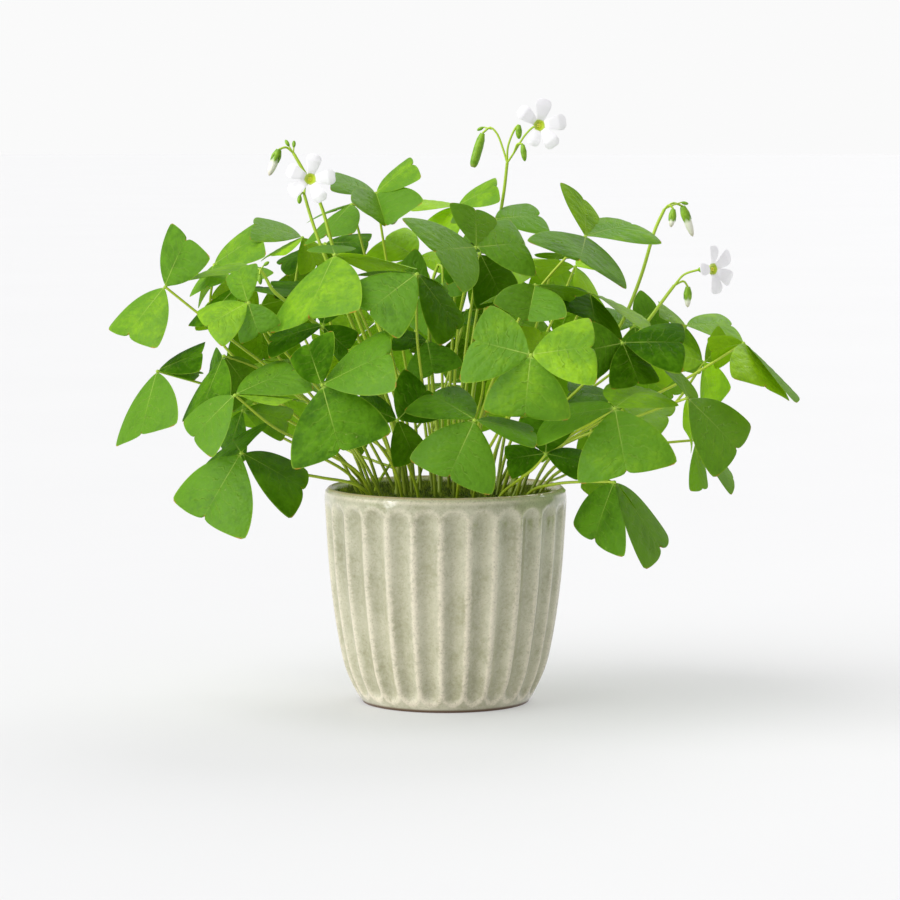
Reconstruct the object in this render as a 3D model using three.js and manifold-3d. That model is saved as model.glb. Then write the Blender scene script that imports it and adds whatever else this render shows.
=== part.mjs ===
// A shamrock (Oxalis triangularis, the green-leaved form with white flowers) in a fluted ceramic pot.
// Millimetres, +Z up. The origin is the middle of the pot's foot, and the front faces -Y.
//
// Leaves and flowers are placed the way a florist would copy a plant: every place is given as it looks from
// one fixed spot in front of the pot (EYE), as millimetres across and up in the upright plane through the
// pot's axis, and as how far in front of that plane the place lies. seen() turns that into a point.
import * as THREE from 'three';
import { mergeVertices } from 'three/addons/utils/BufferGeometryUtils.js';
import Module from 'manifold-3d';

const wasm = await Module();
wasm.setup();

// ---------------------------------------------------------------- driving dimensions
const UP = new THREE.Vector3(0, 0, 1);
const EYE = new THREE.Vector3(2.25, -1830, 290);
const GAP = 0.3; // air between pieces that touch

// Pot: half of its outer profile, from the foot to the crest of the rim, and its cavity back down.
const POT_OUTER = [
  [41.5, 0], [44.2, 4], [50, 16], [53.8, 32], [57.8, 60], [60, 90], [60.5, 102], [60.1, 106],
];
const POT_RIM = [[58, 107.8]];
const POT_INNER = [[55.8, 106], [55.3, 102], [53, 62], [49, 32], [43, 12], [38, 8]];
const FLUTES = 27;
const FLUTE_STEPS = 4; // facets round each flute
const CAVITY_SIDES = 24;
const FLUTE_DEPTH = 1.3;
const FLUTE_BOTTOM = 4;
const FLUTE_TOP = 102;
const FLUTE_TURN = THREE.MathUtils.degToRad(4.6 - 90); // one flute lies this far right of the front

// Soil: fills the cavity, highest in the middle.
const SOIL_EDGE = 100;
const SOIL_RISE = 4;
const SOIL_RADIUS = 54;
const SOIL_GAP = 0.35;

// Leaves: a leaflet's outline in units of its midrib's length, from its foot along one side to its notch.
const LEAFLET_HALF = [[0.42, 0.49], [1.01, 0.72], [0.97, 0]];
const LEAFLET_MIDDLE = [0.5, 0];
const CORNER_OUT = 0.72;
const LEAFLET_SHORTEST = 16;
const LEAFLET_LONGEST = 40;
const BLADE_THICK = 0.8;
const SKYWARD = 0.8; // how much leaflets that face the sky count in choosing which way a leaf leans
const FOLD = 6; // degrees that each half hangs below level, with the midrib as the ridge
const FOOT = 0.6; // a leaflet without a web starts this far behind the joint
const CROWDED = 0.2; // leaflets whose midribs' directions have a larger dot product have no web
const WEB = 2.4; // the web between two leaflets reaches this far from the joint
const WEB_THICK = 1.6;

// Stalks.
const STALK_RADIUS = 1.1;
const STALK_SIDES = 4;
const STALK_STEPS = 4;
const STALK_CLEAR = 0.4; // air kept round a stalk
const REACH = 0.3; // how far a stalk keeps its first and last direction, as a share of its span
const ROOT_DEPTH = 8; // how far a stalk stands in the soil
const ROOT_SPREAD = 41; // the outermost root's distance from the pot's axis
const STALK_ROOM = 2.4; // soil kept round a root
const CROWN_ROOM = 6.2;
const HOLE_SIDES = 4;
const CROWN_RADIUS = 4.8; // the crown that the stalks of a tuft grow from
const CROWN_DEPTH = 3.4;
const CROWN_PROUD = 0.6;
const CROWN_SIDES = 8;
const CROWN_STALK = 2.1; // a tuft's stalks stand this far from the crown's middle

// Flowers.
const SCAPE_RADIUS = 1.15;
const SCAPE_SIDES = 4;
const SCAPE_STEPS = 7;
const PEDICEL_RADIUS = 0.65;
const PEDICEL_SIDES = 3;
const PEDICEL_STEPS = 4;
const BUD_SIDES = 4;
const FORK_RADIUS = 1.5; // the knob where the pedicels leave the scape
const PETAL_THICK = 0.7;
const PETAL_HALF = [[0.36, 0.166], [0.74, 0.33], [0.96, 0.19]]; // half a petal, in units of its length
const PETAL_RISE = [2.2, 2.8, 2.1]; // how far those places stand in front of the throat
const THROAT = 2.3; // neighbouring petals part this far from the throat's middle
const THROAT_RISE = 1.4;
const FUNNEL = [1.2, 1.5, 2.0]; // radii of the corolla's tube, from the calyx to the throat
const FUNNEL_LENGTH = 5;
const CALYX = [0.5, 1.5, 1.7, 0]; // radii of the calyx, from the pedicel on
const CALYX_LENGTH = 3;
const BUD = [0.45, 0.95, 1, 0.8, 0]; // a bud's radii from stalk to tip, in units of its widest

// Colours and roughness.
const GLAZE = [0xb9b994, 0.35];
const SOIL = [0x3a2a1c, 0.95];
const LEAF = [0x5a9632, 0.6];
const SCAPE = [0xa0b43c, 0.6];
const PETAL = [0xf6f6f2, 0.55];

// Leaves in front of, beside and above the pot. Each row is: how far the joint stands in front of the pot's
// axis, the joint's place across and up, and for each leaflet its two corners (across, up, across, up), in
// anticlockwise order where its upper face shows. A fifth number is a leaflet's own fold in degrees, less
// than 0 where its halves rise like a V. A third leaflet that isn't given fills the gap left by two.
const LEAVES = [
  [2, -139.5, 207.5, [-118.5, 222, -138, 239], [-168.5, 188, -145, 178.5], [-98, 218, -118, 214]],
  [-44, -115, 218.5, [-90, 223, -95, 240], [-127.5, 203.5, -108.5, 211]],
  [-52, -71, 232, [-93, 243, -96, 232], [-71.5, 214, -58, 222], [-92, 221, -80, 224]],
  [-28, -46.5, 248.5, [-71, 230, -47, 236], [-26, 240, -22, 246]],
  [5, -34.5, 254, [-13, 262, -19, 272.5], [-53.5, 264.5, -56.5, 255.5], [-45.5, 250, -12, 250.5, -38]],
  [45, -55, 223.5, [-88, 187, -46, 198], [-15, 218, -26, 211], [-47, 227, -66, 226]],
  [70, -14, 214, [-50, 206, -24.5, 184], [-3, 179.5, 11, 193]],
  [50, -98, 199.5, [-124, 196, -111.5, 179.5], [-95, 216, -108, 210], [-102, 181, -84, 190]],
  [15, -104, 207, [-129, 190, -110, 187], [-79, 203, -77, 206], [-93, 212, -101, 214]],
  [18, -143.5, 165.5, [-165, 129, -135.5, 139.5], [-123, 166.5, -120, 180], [-126, 162, -121, 165]],
  [77, -105, 153.5, [-131, 141, -117.5, 124], [-67, 157.5, -84, 171.5], [-84, 149, -69, 150.5]],
  [95, -61.5, 158.5, [-57, 185, -78, 172], [-26.5, 158, -30, 187], [-75, 117, -29, 135]],
  [46, -110.5, 173, [-131.5, 141, -110, 146], [-106, 146, -90, 163]],
  [75, -102, 124.5, [-136, 101.5, -102.5, 83], [-77, 94, -68, 117.5], [-89, 141, -121, 118]],
  [34, -101, 146, [-113, 129, -101, 121], [-82, 132, -76, 148]],
  [50, -24, 141, [-40, 156, -47, 140], [-25, 118, -8, 125]],
  [30, -9, 180.5, [-19.5, 160, 8, 168], [-22, 186, -24, 177]],
  [-10, -9, 205, [-19, 189, -5, 183], [8, 205, 4, 218]],
  [105, 42.5, 173.5, [21.5, 198, 7.5, 161.5], [74, 160.5, 71.5, 192.5], [19.5, 146, 60.5, 142]],
  [62, 44.5, 208.5, [25, 200, 59, 193, -20], [71, 206, 58, 199]],
  [5, 64.5, 217.5, [47, 212, 44, 222], [66, 207, 73, 208], [84, 217, 72, 227]],
  [-40, 6, 247.5, [26, 251, 24, 262], [-9, 240, 5, 236], [-12, 251.3, -16.5, 246.5]],
  [-15, 24, 241, [51.5, 234, 41, 249.5], [10, 246, 3, 240]],
  [60, 15, 227, [-19.5, 242, 8.5, 206.5], [25.5, 241.5, 3, 249], [45, 214.5, 32, 241.5]],
  [15, 17, 224, [17, 197, 36, 209], [-2, 222, 1, 210]],
  [30, 69.5, 232.5, [78, 242, 57.5, 259], [107, 231, 79, 243.5], [43, 231, 89.5, 209.5]],
  [70, 88, 179.5, [84, 158, 107, 161], [117, 167, 117.5, 190], [66, 190, 72, 161]],
  [28, 71.5, 204.5, [59, 197, 88, 182], [101, 187.5, 96.5, 193], [50, 209, 50, 203]],
  [-5, 119.5, 188, [148, 180.5, 136, 194.5], [106, 200.5, 107, 193]],
  [30, 148.5, 179.5, [145.5, 164, 172, 152], [174.5, 151.5, 171.5, 155], [136, 168.5, 132.5, 182.5]],
  [8, 129, 170, [113, 181, 113, 166], [128, 140, 141, 157], [132, 178, 136, 172]],
  [78, 120.5, 152, [124.5, 157.5, 103, 176], [135, 114, 153, 139], [124, 125, 119.5, 137]],
  [90, 84.5, 147, [67.5, 110, 114, 120.5], [116, 151, 83, 161.5], [56, 150, 46, 129.5]],
  [46, 84, 152, [62, 161, 62, 147], [106, 134.5, 114.5, 149], [80, 132, 91, 131]],
  [55, 84.5, 110, [63.5, 89, 87.5, 73.5], [99.5, 67.5, 112, 85]],
  [-6, 124.5, 131, [143, 105, 142, 118], [131.5, 109, 123, 106], [137, 146, 121, 151]],
  [-12, 94, 188, [108.5, 188, 97, 202.5], [80, 198, 76, 186]],
  [100, 14.5, 141, [6, 158.5, -20, 146], [-17.5, 121.5, 22, 104.5], [44, 127.5, 41, 140]],
  [60, 50, 124, [30, 128, 33, 113], [66, 112, 70, 126]],
  [34, 45, 160, [55, 182, 38, 187], [38, 137, 50, 136]],
  [-70, -60, 229, [-41, 223, -37, 234], [-84, 222, -78, 214], [-53, 214, -64, 212]],
  [-14, -62, 206, [-86, 211, -84, 203], [-48, 196, -40, 206]],
  [-34, -14, 222, [-20, 238, -40, 223], [2, 214, 6, 226]],
  [40, -61, 188, [-86, 186, -87, 173], [-52, 170, -44, 184]],
];

// The far side repeats leaves of the near side, turned about the pot's axis, four to a crown. Each entry is
// a row of LEAVES counted from 0, the turn in degrees, and how much higher the leaf stands.
const TUFTS = [
  [[11, 180, 10], [18, 178, 4], [15, 184, 20], [6, 181, -6]],
  [[37, 171, 3], [32, 183, 3], [19, 173, -5], [18, 217, 15]],
  [[13, 193, 8], [10, 181, 8], [5, 178, -6], [7, 176, -30]],
  [[33, 196, 10], [20, 148, -44], [16, 176, 12], [38, 190, -2]],
];

// Flower stalks. Points are across, up and in front of the pot's axis, as for the leaves. A spray is a
// pedicel that runs along `path` and carries a bud (its tip and widest radius) or a flower (its middle, the
// way that it faces, and each petal's bearing in degrees, anticlockwise from its right, and length).
const SCAPES = [
  {
    stalk: [[-55.5, 226, 0], [-62.4, 249.6, -4], [-73, 269.7, -6], [-75.4, 273.8, -7]],
    sprays: [
      {
        path: [[-75.4, 273.8, -7], [-79, 276.6, -6], [-82.5, 275.6, -5]],
        bud: [-87.5, 262.5, -3],
        wide: 2.7,
      },
      { path: [[-75.4, 273.8, -7], [-77.4, 277, -8]], bud: [-79.4, 280.4, -9], wide: 0.95 },
      { path: [[-75.4, 273.8, -7], [-75.2, 276.4, -9]], bud: [-75, 280, -11], wide: 0.95 },
    ],
  },
  {
    stalk: [[-62, 228, 18], [-66.5, 241, 16], [-70, 253, 14]],
    sprays: [
      { path: [[-70, 253, 14], [-71, 254.4, 16], [-72.2, 253, 17]], bud: [-72.6, 248.6, 17.5], wide: 1.2 },
      {
        path: [[-70, 253, 14], [-69.5, 257.5, 10.5]],
        bloom: [-67, 261, 22],
        faces: [-0.05, -1, 0.02],
        petals: [[78, 12.3], [5, 12.5], [-61, 12.5], [-145, 12.2], [156, 12.1]],
      },
    ],
  },
  {
    stalk: [[27, 242, -34], [29.2, 256, -32], [30.6, 268.9, -30]],
    sprays: [
      {
        path: [
          [30.6, 268.9, -30], [28.8, 275, -31], [25.4, 283.6, -33], [22.2, 286.4, -34], [18.4, 283.6, -35],
        ],
        bud: [13.6, 266.8, -35],
        wide: 2.4,
      },
      {
        path: [[30.6, 268.9, -30], [31, 277, -29], [34.6, 286, -28], [36.3, 287.8, -28]],
        bud: [36.4, 280.6, -28],
        wide: 1.6,
      },
      { path: [[22.8, 285.6, -34], [19, 286.6, -36]], bud: [15.6, 285, -37.5], wide: 0.9 },
      {
        path: [[30.6, 268.9, -30], [34, 274, -28], [39.4, 282.6, -27], [43.4, 286.6, -28]],
        bloom: [46.3, 287.4, -17],
        faces: [0.1, -1, 0.06],
        petals: [[78, 13.5], [8, 13.5], [-54, 13.2], [-111, 10.8], [141, 12.9]],
      },
      { path: [[34, 274, -28], [36, 278.4, -25], [38.2, 278.2, -24]], bud: [39.4, 269.6, -23.5], wide: 1.5 },
    ],
  },
  {
    stalk: [[89, 192, 6], [97.3, 213, 2], [104.1, 235.9, -3], [108.7, 246, -4]],
    sprays: [
      { path: [[108.7, 246, -4], [111, 248, -2], [113.1, 246.2, -1]], bud: [112, 237, 0], wide: 1.9 },
      { path: [[108.7, 246, -4], [113, 249, -7], [117.6, 247.6, -9]], bud: [122.9, 232.4, -10], wide: 2.3 },
      { path: [[108.7, 246, -4], [112, 247.6, -2], [117, 249.4, -5]], bud: [120.6, 248.6, -6], wide: 0.9 },
    ],
  },
  {
    stalk: [[91.9, 179.6, 22], [100, 189.5, 24], [109.8, 202.9, 25], [113.8, 208.2, 25]],
    sprays: [
      {
        path: [[113.8, 208.2, 25], [118.7, 213.6, 26]],
        bloom: [132.1, 216.3, 33],
        faces: [0.68, -0.73, 0.06],
        petals: [[91, 11.4], [31, 13.4], [-27, 13.2], [-84, 12.2], [180, 10]],
      },
      {
        path: [[113.8, 208.2, 25], [118.4, 210.2, 23], [120.5, 207.6, 22]],
        bud: [120.5, 197.2, 21],
        wide: 2,
      },
    ],
  },
  {
    stalk: [[-7, 208, 24], [-5, 215, 25], [-3.5, 218.6, 26]],
    sprays: [
      { path: [[-3.5, 218.6, 26], [-1.8, 217.4, 29], [-1.4, 209.4, 30]], bud: [0.6, 197, 31], wide: 1.9 },
    ],
  },
  {
    stalk: [[-86, 206, 36], [-89.4, 212, 36], [-92, 216, 36]],
    sprays: [
      { path: [[-92, 216, 36], [-92.4, 213.6, 38]], bud: [-92, 208.5, 39], wide: 1.1 },
      { path: [[-92, 216, 36], [-94.4, 216.8, 35]], bud: [-98, 216.4, 34], wide: 0.9 },
      { path: [[-92, 216, 36], [-90.4, 218, 35]], bud: [-87.6, 220, 34], wide: 0.9 },
    ],
  },
];

// Stalks whose last stretch is in plain view come into their leaf from these places (across, up, in front).
const COMES_FROM = new Map([
  [0, [-108, 178, 5]], [9, [-110, 157, 25]], [12, [-92, 172, 22]], [18, [36, 134, 90]], [28, [108, 176, 0]],
  [29, [130, 163, 20]], [32, [66, 134, 70]], [34, [66, 110, 50]], [35, [104, 130.5, 15]],
]);

// ---------------------------------------------------------------- solids
// A three.js geometry as a manifold solid.
function solidOf(geometry) {
  const bare = geometry.clone();
  bare.deleteAttribute('normal');
  bare.deleteAttribute('uv');
  const merged = mergeVertices(bare, 1e-4);
  const mesh = new wasm.Mesh({
    numProp: 3,
    vertProperties: new Float32Array(merged.attributes.position.array),
    triVerts: new Uint32Array(merged.index.array),
  });
  return new wasm.Manifold(mesh);
}

const union = (solids) => solids.reduce((whole, solid) => whole.add(solid));

// A solid as a named mesh with its own plain material.
function pieceOf(name, solid, [color, roughness]) {
  const { vertProperties, triVerts } = solid.getMesh();
  const geometry = new THREE.BufferGeometry();
  geometry.setAttribute('position', new THREE.BufferAttribute(vertProperties, 3));
  geometry.setIndex(new THREE.BufferAttribute(triVerts, 1));
  geometry.computeVertexNormals();
  const mesh = new THREE.Mesh(geometry, new THREE.MeshStandardMaterial({ color, roughness, metalness: 0 }));
  mesh.name = name;
  return mesh;
}

// A tube of a few flat sides along a curve.
function tube(curve, radius, sides, steps) {
  const corners = Array.from({ length: sides }, (_, k) => {
    const turn = (2 * Math.PI * (k + 0.5)) / sides;
    return new THREE.Vector2(radius * Math.cos(turn), radius * Math.sin(turn));
  });
  return solidOf(new THREE.ExtrudeGeometry(new THREE.Shape(corners), { steps, extrudePath: curve }));
}

const smooth = (points) => new THREE.CatmullRomCurve3(points, false, 'centripetal');

// A round solid between two points, as radii at even steps from one to the other.
function turned(from, to, radii, sides) {
  const length = from.distanceTo(to);
  const step = length / (radii.length - 1);
  const profile = radii.map((radius, k) => new THREE.Vector2(radius, k * step));
  const closed = [new THREE.Vector2(0, 0), ...profile.filter((p) => p.x > 0), new THREE.Vector2(0, length)];
  const geometry = new THREE.LatheGeometry(closed, sides);
  const along = to.clone().sub(from).normalize();
  geometry.applyQuaternion(new THREE.Quaternion().setFromUnitVectors(new THREE.Vector3(0, 1, 0), along));
  return solidOf(geometry.translate(from.x, from.y, from.z));
}

// The point that looks to be `across` and `up` from EYE and lies `nearer` mm in front of the pot's axis.
function seen(across, up, nearer) {
  const reach = (-EYE.y - nearer) / -EYE.y;
  return new THREE.Vector3(across, 0, up).sub(EYE).multiplyScalar(reach).add(EYE);
}

// ---------------------------------------------------------------- pot and soil
const turnedUp = (profile, sides) => new THREE.LatheGeometry(
  profile.map(([r, z]) => new THREE.Vector2(r, z)),
  sides,
).rotateX(Math.PI / 2);

function potSolid() {
  const outer = [...POT_OUTER, ...POT_RIM];
  const geometry = turnedUp([[0, 0], ...outer, [0, POT_RIM.at(-1)[1]]], FLUTES * FLUTE_STEPS);
  const place = geometry.attributes.position;
  for (let i = 0; i < place.count; i += 1) {
    const [x, y, z] = [place.getX(i), place.getY(i), place.getZ(i)];
    if (Math.hypot(x, y) > 1 && z > FLUTE_BOTTOM && z < FLUTE_TOP) {
      const turn = FLUTES * (Math.atan2(y, x) - FLUTE_TURN);
      const hollow = FLUTE_DEPTH * Math.sqrt(Math.max(0, (1 + Math.cos(turn)) / 2));
      const scale = 1 - hollow / Math.hypot(x, y);
      place.setXY(i, x * scale, y * scale);
    }
  }
  const cavity = [...POT_INNER].reverse();
  const above = POT_RIM.at(-1)[1] + 1;
  const mouth = [POT_RIM.at(-1)[0] - 1, above];
  const inside = turnedUp([[0, cavity[0][1]], ...cavity, mouth, [0, above]], CAVITY_SIDES);
  return solidOf(geometry).subtract(solidOf(inside));
}

const soilTop = (radius) => SOIL_EDGE + SOIL_RISE * (1 - (radius / SOIL_RADIUS) ** 2);

function soilSolid() {
  const wall = POT_INNER.slice(1).map(([r, z]) => [r - SOIL_GAP, z]);
  wall[0][1] = SOIL_EDGE;
  wall.at(-1)[1] += GAP;
  const top = [0.7, 0.35].map((share) => [share * SOIL_RADIUS, soilTop(share * SOIL_RADIUS)]);
  return solidOf(turnedUp([[0, wall.at(-1)[1]], ...wall.reverse(), ...top, [0, soilTop(0)]], CAVITY_SIDES));
}

// ---------------------------------------------------------------- leaves
// The two ways that a leaflet can stand when its two corners are seen at c1 and c2 from the leaf's joint: its
// true shape is known, so its length and its slant follow, but it may lean towards EYE or away from it.
function leafletsSeen(joint, nearness, [a1, u1, a2, u2, fold = FOLD], [across, up]) {
  const sight = joint.clone().sub(EYE).normalize();
  const right = new THREE.Vector3().crossVectors(sight, UP).normalize();
  const rise = new THREE.Vector3().crossVectors(right, sight);
  const middle = new THREE.Vector2((a1 + a2) / 2 - across, (u1 + u2) / 2 - up).multiplyScalar(nearness);
  const half = new THREE.Vector2((a1 - a2) / 2, (u1 - u2) / 2).multiplyScalar(nearness);
  const bend = THREE.MathUtils.degToRad(fold);
  const sag = CORNER_OUT * Math.sin(bend);
  const out = CORNER_OUT * Math.cos(bend);
  const A = 1 + sag ** 2;
  const B = out ** 2;
  const p = middle.lengthSq();
  const q = half.lengthSq();
  const r = middle.dot(half);
  const sum = A * q + B * p;
  const square = (sum + Math.sqrt(sum ** 2 - 4 * A * B * (p * q - r ** 2))) / (2 * A * B);
  const ribDepth = Math.sqrt(Math.max(A * square - p, 0));
  const sideDepth = -Math.sign(r) * Math.sqrt(Math.max(B * square - q, 0));
  const inSpace = (flat, depth) => right.clone().multiplyScalar(flat.x)
    .addScaledVector(rise, flat.y).addScaledVector(sight, -depth).normalize();
  const length = THREE.MathUtils.clamp(Math.sqrt(square), LEAFLET_SHORTEST, LEAFLET_LONGEST);
  return [1, -1].map((toward) => {
    const along = inSpace(middle, toward * ribDepth);
    const side = inSpace(half, toward * sideDepth);
    const face = new THREE.Vector3().crossVectors(side, along).normalize();
    return leaflet(along.addScaledVector(face, sag).normalize(), side.negate(), length, bend);
  });
}

// A leaflet's frame: its midrib, the way across it, and its upper face.
function leaflet(rib, side, length, bend) {
  return { rib, side, face: new THREE.Vector3().crossVectors(rib, side).normalize(), length, bend };
}

// The third leaflet of a leaf, the same angle from both others and on the drooping side.
function thirdLeaflet([one, two]) {
  const axis = one.face.clone().add(two.face).normalize();
  const dot = one.rib.dot(two.rib);
  const share = dot / (1 + dot);
  const rib = one.rib.clone().add(two.rib).multiplyScalar(share);
  const cross = new THREE.Vector3().crossVectors(one.rib, two.rib);
  const lift = Math.sqrt(Math.max(0, (1 - (2 * dot ** 2) / (1 + dot)) / (1 - dot ** 2)));
  rib.addScaledVector(cross, cross.dot(axis) > 0 ? -lift : lift).normalize();
  const side = new THREE.Vector3().crossVectors(axis, rib).normalize();
  return leaflet(rib, side, (one.length + two.length) / 2, THREE.MathUtils.degToRad(FOLD));
}

// How far leaflet b stands anticlockwise of leaflet a, and how well a leaf's three leaflets go together: they
// follow each other round, face the same way, and face the sky.
const follows = (a, b) => a.side.dot(b.rib) - b.side.dot(a.rib);
const inTurn = ([a, b, c]) => follows(a, b) + follows(b, c) + follows(c, a);
const facing = ([a, b, c]) => a.face.dot(b.face) + b.face.dot(c.face) + c.face.dot(a.face);
const regularity = (three) => Math.abs(inTurn(three)) + facing(three)
  + SKYWARD * three.reduce((sum, { face }) => sum + face.z, 0);

// A row of LEAVES as a joint and three leaflets in space, leaning the way that makes the most regular leaf.
function leafOf([nearer, across, up, ...corners]) {
  const joint = seen(across, up, nearer);
  const nearness = (-EYE.y - nearer) / -EYE.y;
  const either = corners.map((row) => leafletsSeen(joint, nearness, row, [across, up]));
  const eachWith = (lists, pair) => lists.flatMap((list) => pair.map((one) => [...list, one]));
  const mixed = either.reduce(eachWith, [[]]);
  const whole = mixed.map((list) => (list.length === 2 ? [...list, thirdLeaflet(list)] : list));
  const leaflets = whole.reduce((best, three) => (regularity(three) > regularity(best) ? three : best));
  return { joint, leaflets };
}

// A leaf turned about the pot's axis and lifted.
function turnedLeaf(leaf, degrees, lift) {
  const turn = THREE.MathUtils.degToRad(degrees);
  const spin = (v) => v.clone().applyAxisAngle(UP, turn);
  const leaflets = leaf.leaflets.map((l) => leaflet(spin(l.rib), spin(l.side), l.length, l.bend));
  return { joint: spin(leaf.joint).add(new THREE.Vector3(0, 0, lift)), leaflets };
}

// A thin sheet in one piece: both faces are the same triangles, half the thickness either side of the points,
// and a narrow edge follows the outline. A point is its place and the way and amount of its thickness.
function sheetSolid(points, triangles, outline) {
  const faces = ({ place, thick }) => [0.5, -0.5].map((part) => place.clone().addScaledVector(thick, part));
  const upper = (k) => 2 * k;
  const lower = (k) => 2 * k + 1;
  const both = ([a, b, c]) => [upper(a), upper(b), upper(c), lower(a), lower(c), lower(b)];
  const index = triangles.flatMap(both);
  outline.forEach((from, i) => {
    const to = outline[(i + 1) % outline.length];
    index.push(lower(from), lower(to), upper(to), lower(from), upper(to), upper(from));
  });
  return solidOf(new THREE.BufferGeometry().setFromPoints(points.flatMap(faces)).setIndex(index));
}

// The triangles between a middle and each edge of the ring round it.
const fan = (middle, ring) => ring.map((from, i) => [middle, from, ring[(i + 1) % ring.length]]);

const LEFT = LEAFLET_HALF;
const RIGHT = LEFT.map(([s, t]) => [s, -t]);
const LOBE = [...RIGHT, ...LEFT.slice(0, -1).reverse()];

// A place on a leaflet, which is folded along its midrib.
const onLeaflet = (joint, { rib, side, face, length, bend }, [s, t]) => ({
  place: joint.clone()
    .addScaledVector(rib, s * length)
    .addScaledVector(side, t * length * Math.cos(bend))
    .addScaledVector(face, -Math.abs(t) * length * Math.sin(bend)),
  thick: face.clone().multiplyScalar(BLADE_THICK),
});

// One leaflet by itself, from just behind the joint.
function leafletSolid(joint, one) {
  const outline = [[-FOOT / one.length, 0], ...LOBE];
  const points = [LEAFLET_MIDDLE, ...outline].map((at) => onLeaflet(joint, one, at));
  const ring = outline.map((_, k) => k + 1);
  return sheetSolid(points, fan(0, ring), ring);
}

// Three leaflets in one sheet, with a small web between neighbours at the joint.
function webbedSolid(joint, leaflets) {
  const round = inTurn(leaflets) > 0 ? leaflets : [...leaflets].reverse();
  const away = (one, at) => onLeaflet(joint, one, at).place.sub(joint).normalize();
  const points = round.map((one, k) => {
    const next = round[(k + 1) % 3];
    const [from, to] = [away(one, LEFT[0]), away(next, RIGHT[0])];
    const out = one.face.clone().add(next.face).normalize();
    const wide = from.dot(to) < 0 && new THREE.Vector3().crossVectors(from, to).dot(out) < 0;
    const way = from.add(to).setLength(wide ? -WEB : WEB);
    return { place: way.add(joint), thick: out.multiplyScalar(WEB_THICK) };
  });
  const triangles = [[0, 1, 2]];
  const outline = round.flatMap((one, k) => {
    const middle = points.push(onLeaflet(joint, one, LEAFLET_MIDDLE)) - 1;
    const lobe = LOBE.map((at) => points.push(onLeaflet(joint, one, at)) - 1);
    triangles.push(...fan(middle, [(k + 2) % 3, ...lobe, k]));
    return [...lobe, k];
  });
  return sheetSolid(points, triangles, outline);
}

function bladeSolid({ joint, leaflets }) {
  const [a, b, c] = leaflets.map(({ rib }) => rib);
  const crowded = Math.max(a.dot(b), b.dot(c), c.dot(a)) > CROWDED;
  return crowded ? union(leaflets.map((one) => leafletSolid(joint, one))) : webbedSolid(joint, leaflets);
}

// ---------------------------------------------------------------- roots and stalks
// Roots keep the order of what they carry: the further out a leaf or flower stands, the further out its
// root, at the same bearing where there is room. Crowns need more room than single stalks.
function plantRoots(growths) {
  const lean = ({ tip }) => Math.hypot(tip.x, tip.y) / (tip.z - SOIL_EDGE + 60);
  const order = growths.map((_, k) => k).sort((a, b) => lean(growths[a]) - lean(growths[b]));
  const roots = [];
  order.forEach((k, rank) => {
    const { tip, room } = growths[k];
    const distance = ROOT_SPREAD * Math.sqrt((rank + 0.5) / growths.length);
    const bearing = Math.atan2(tip.y, tip.x);
    for (let tryout = 0; tryout < 100 && !roots[k]; tryout += 1) {
      const shift = (tryout % 2 ? 1 : -1) * Math.ceil(tryout / 2) * 0.06;
      const x = distance * Math.cos(bearing + shift);
      const y = distance * Math.sin(bearing + shift);
      const apart = (other, i) => Math.hypot(other.x - x, other.y - y) > room + growths[i].room;
      if (roots.every(apart)) roots[k] = new THREE.Vector3(x, y, soilTop(distance));
    }
  });
  return roots;
}

// Ways a stalk may bow on its way up, as shares of its span to its side and outwards, straightest first.
const SIDEWAYS = [0, 0.06, -0.06, 0.12, -0.12, 0.2, -0.2, 0.28, -0.28, 0.38, -0.38, 0.5, -0.5];
const OUTWARDS = [0, 0.07, -0.07, 0.15, -0.15, 0.24, -0.24, 0.35, -0.35];
const BOWS = SIDEWAYS.flatMap((sideways) => OUTWARDS.map((outward) => [sideways, outward]))
  .sort(([a, b], [c, d]) => Math.hypot(a, b) - Math.hypot(c, d));

// A stalk from its root to its tip: upright out of the soil, and into the tip along `axis`.
function stalkCurve(root, tip, axis, [sideways, outward]) {
  const span = root.distanceTo(tip);
  const way = tip.clone().sub(root).setZ(0).normalize();
  const across = new THREE.Vector3().crossVectors(UP, way);
  const bow = across.multiplyScalar(sideways * span).addScaledVector(way, outward * span);
  const low = root.clone().addScaledVector(UP, REACH * span).addScaledVector(bow, 0.5);
  const high = tip.clone().addScaledVector(axis, -REACH * span).add(bow);
  return new THREE.CubicBezierCurve3(root, low, high, tip);
}

// The straightest stalk that stays clear of every solid already there, and of its own blade but at the joint.
function clearStalk(root, tip, axis, radius, taken, own) {
  const isClear = (curve) => {
    const probe = tube(curve, radius + STALK_CLEAR, STALK_SIDES, STALK_STEPS);
    if (taken.some((solid) => solid !== own && !probe.intersect(solid).isEmpty())) return false;
    const lower = smooth(curve.getSpacedPoints(STALK_STEPS).slice(0, -1));
    return !own || tube(lower, radius, STALK_SIDES, STALK_STEPS).intersect(own).isEmpty();
  };
  const curves = BOWS.map((bow) => stalkCurve(root, tip, axis, bow));
  return curves.find(isClear) ?? curves[0];
}

// The way a stalk comes into its leaf: from a given place, or between the leaf's axis and the root's bearing.
function arrival({ joint, leaflets }, root, from) {
  if (from) return joint.clone().sub(seen(...from)).normalize();
  const axis = leaflets.reduce((sum, l) => sum.add(l.face), new THREE.Vector3()).normalize();
  return axis.add(joint.clone().sub(root).normalize()).normalize();
}

// A hole in the soil for a stalk, round its first stretch.
function holeFor(curve, radius, steps) {
  const [bottom, top] = curve.getSpacedPoints(steps);
  const way = top.clone().sub(bottom).normalize();
  bottom.addScaledVector(way, -3 * GAP);
  const wide = radius / Math.cos(Math.PI / HOLE_SIDES) + 1.5 * GAP;
  return turned(bottom, top, [wide, wide], HOLE_SIDES);
}

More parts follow.
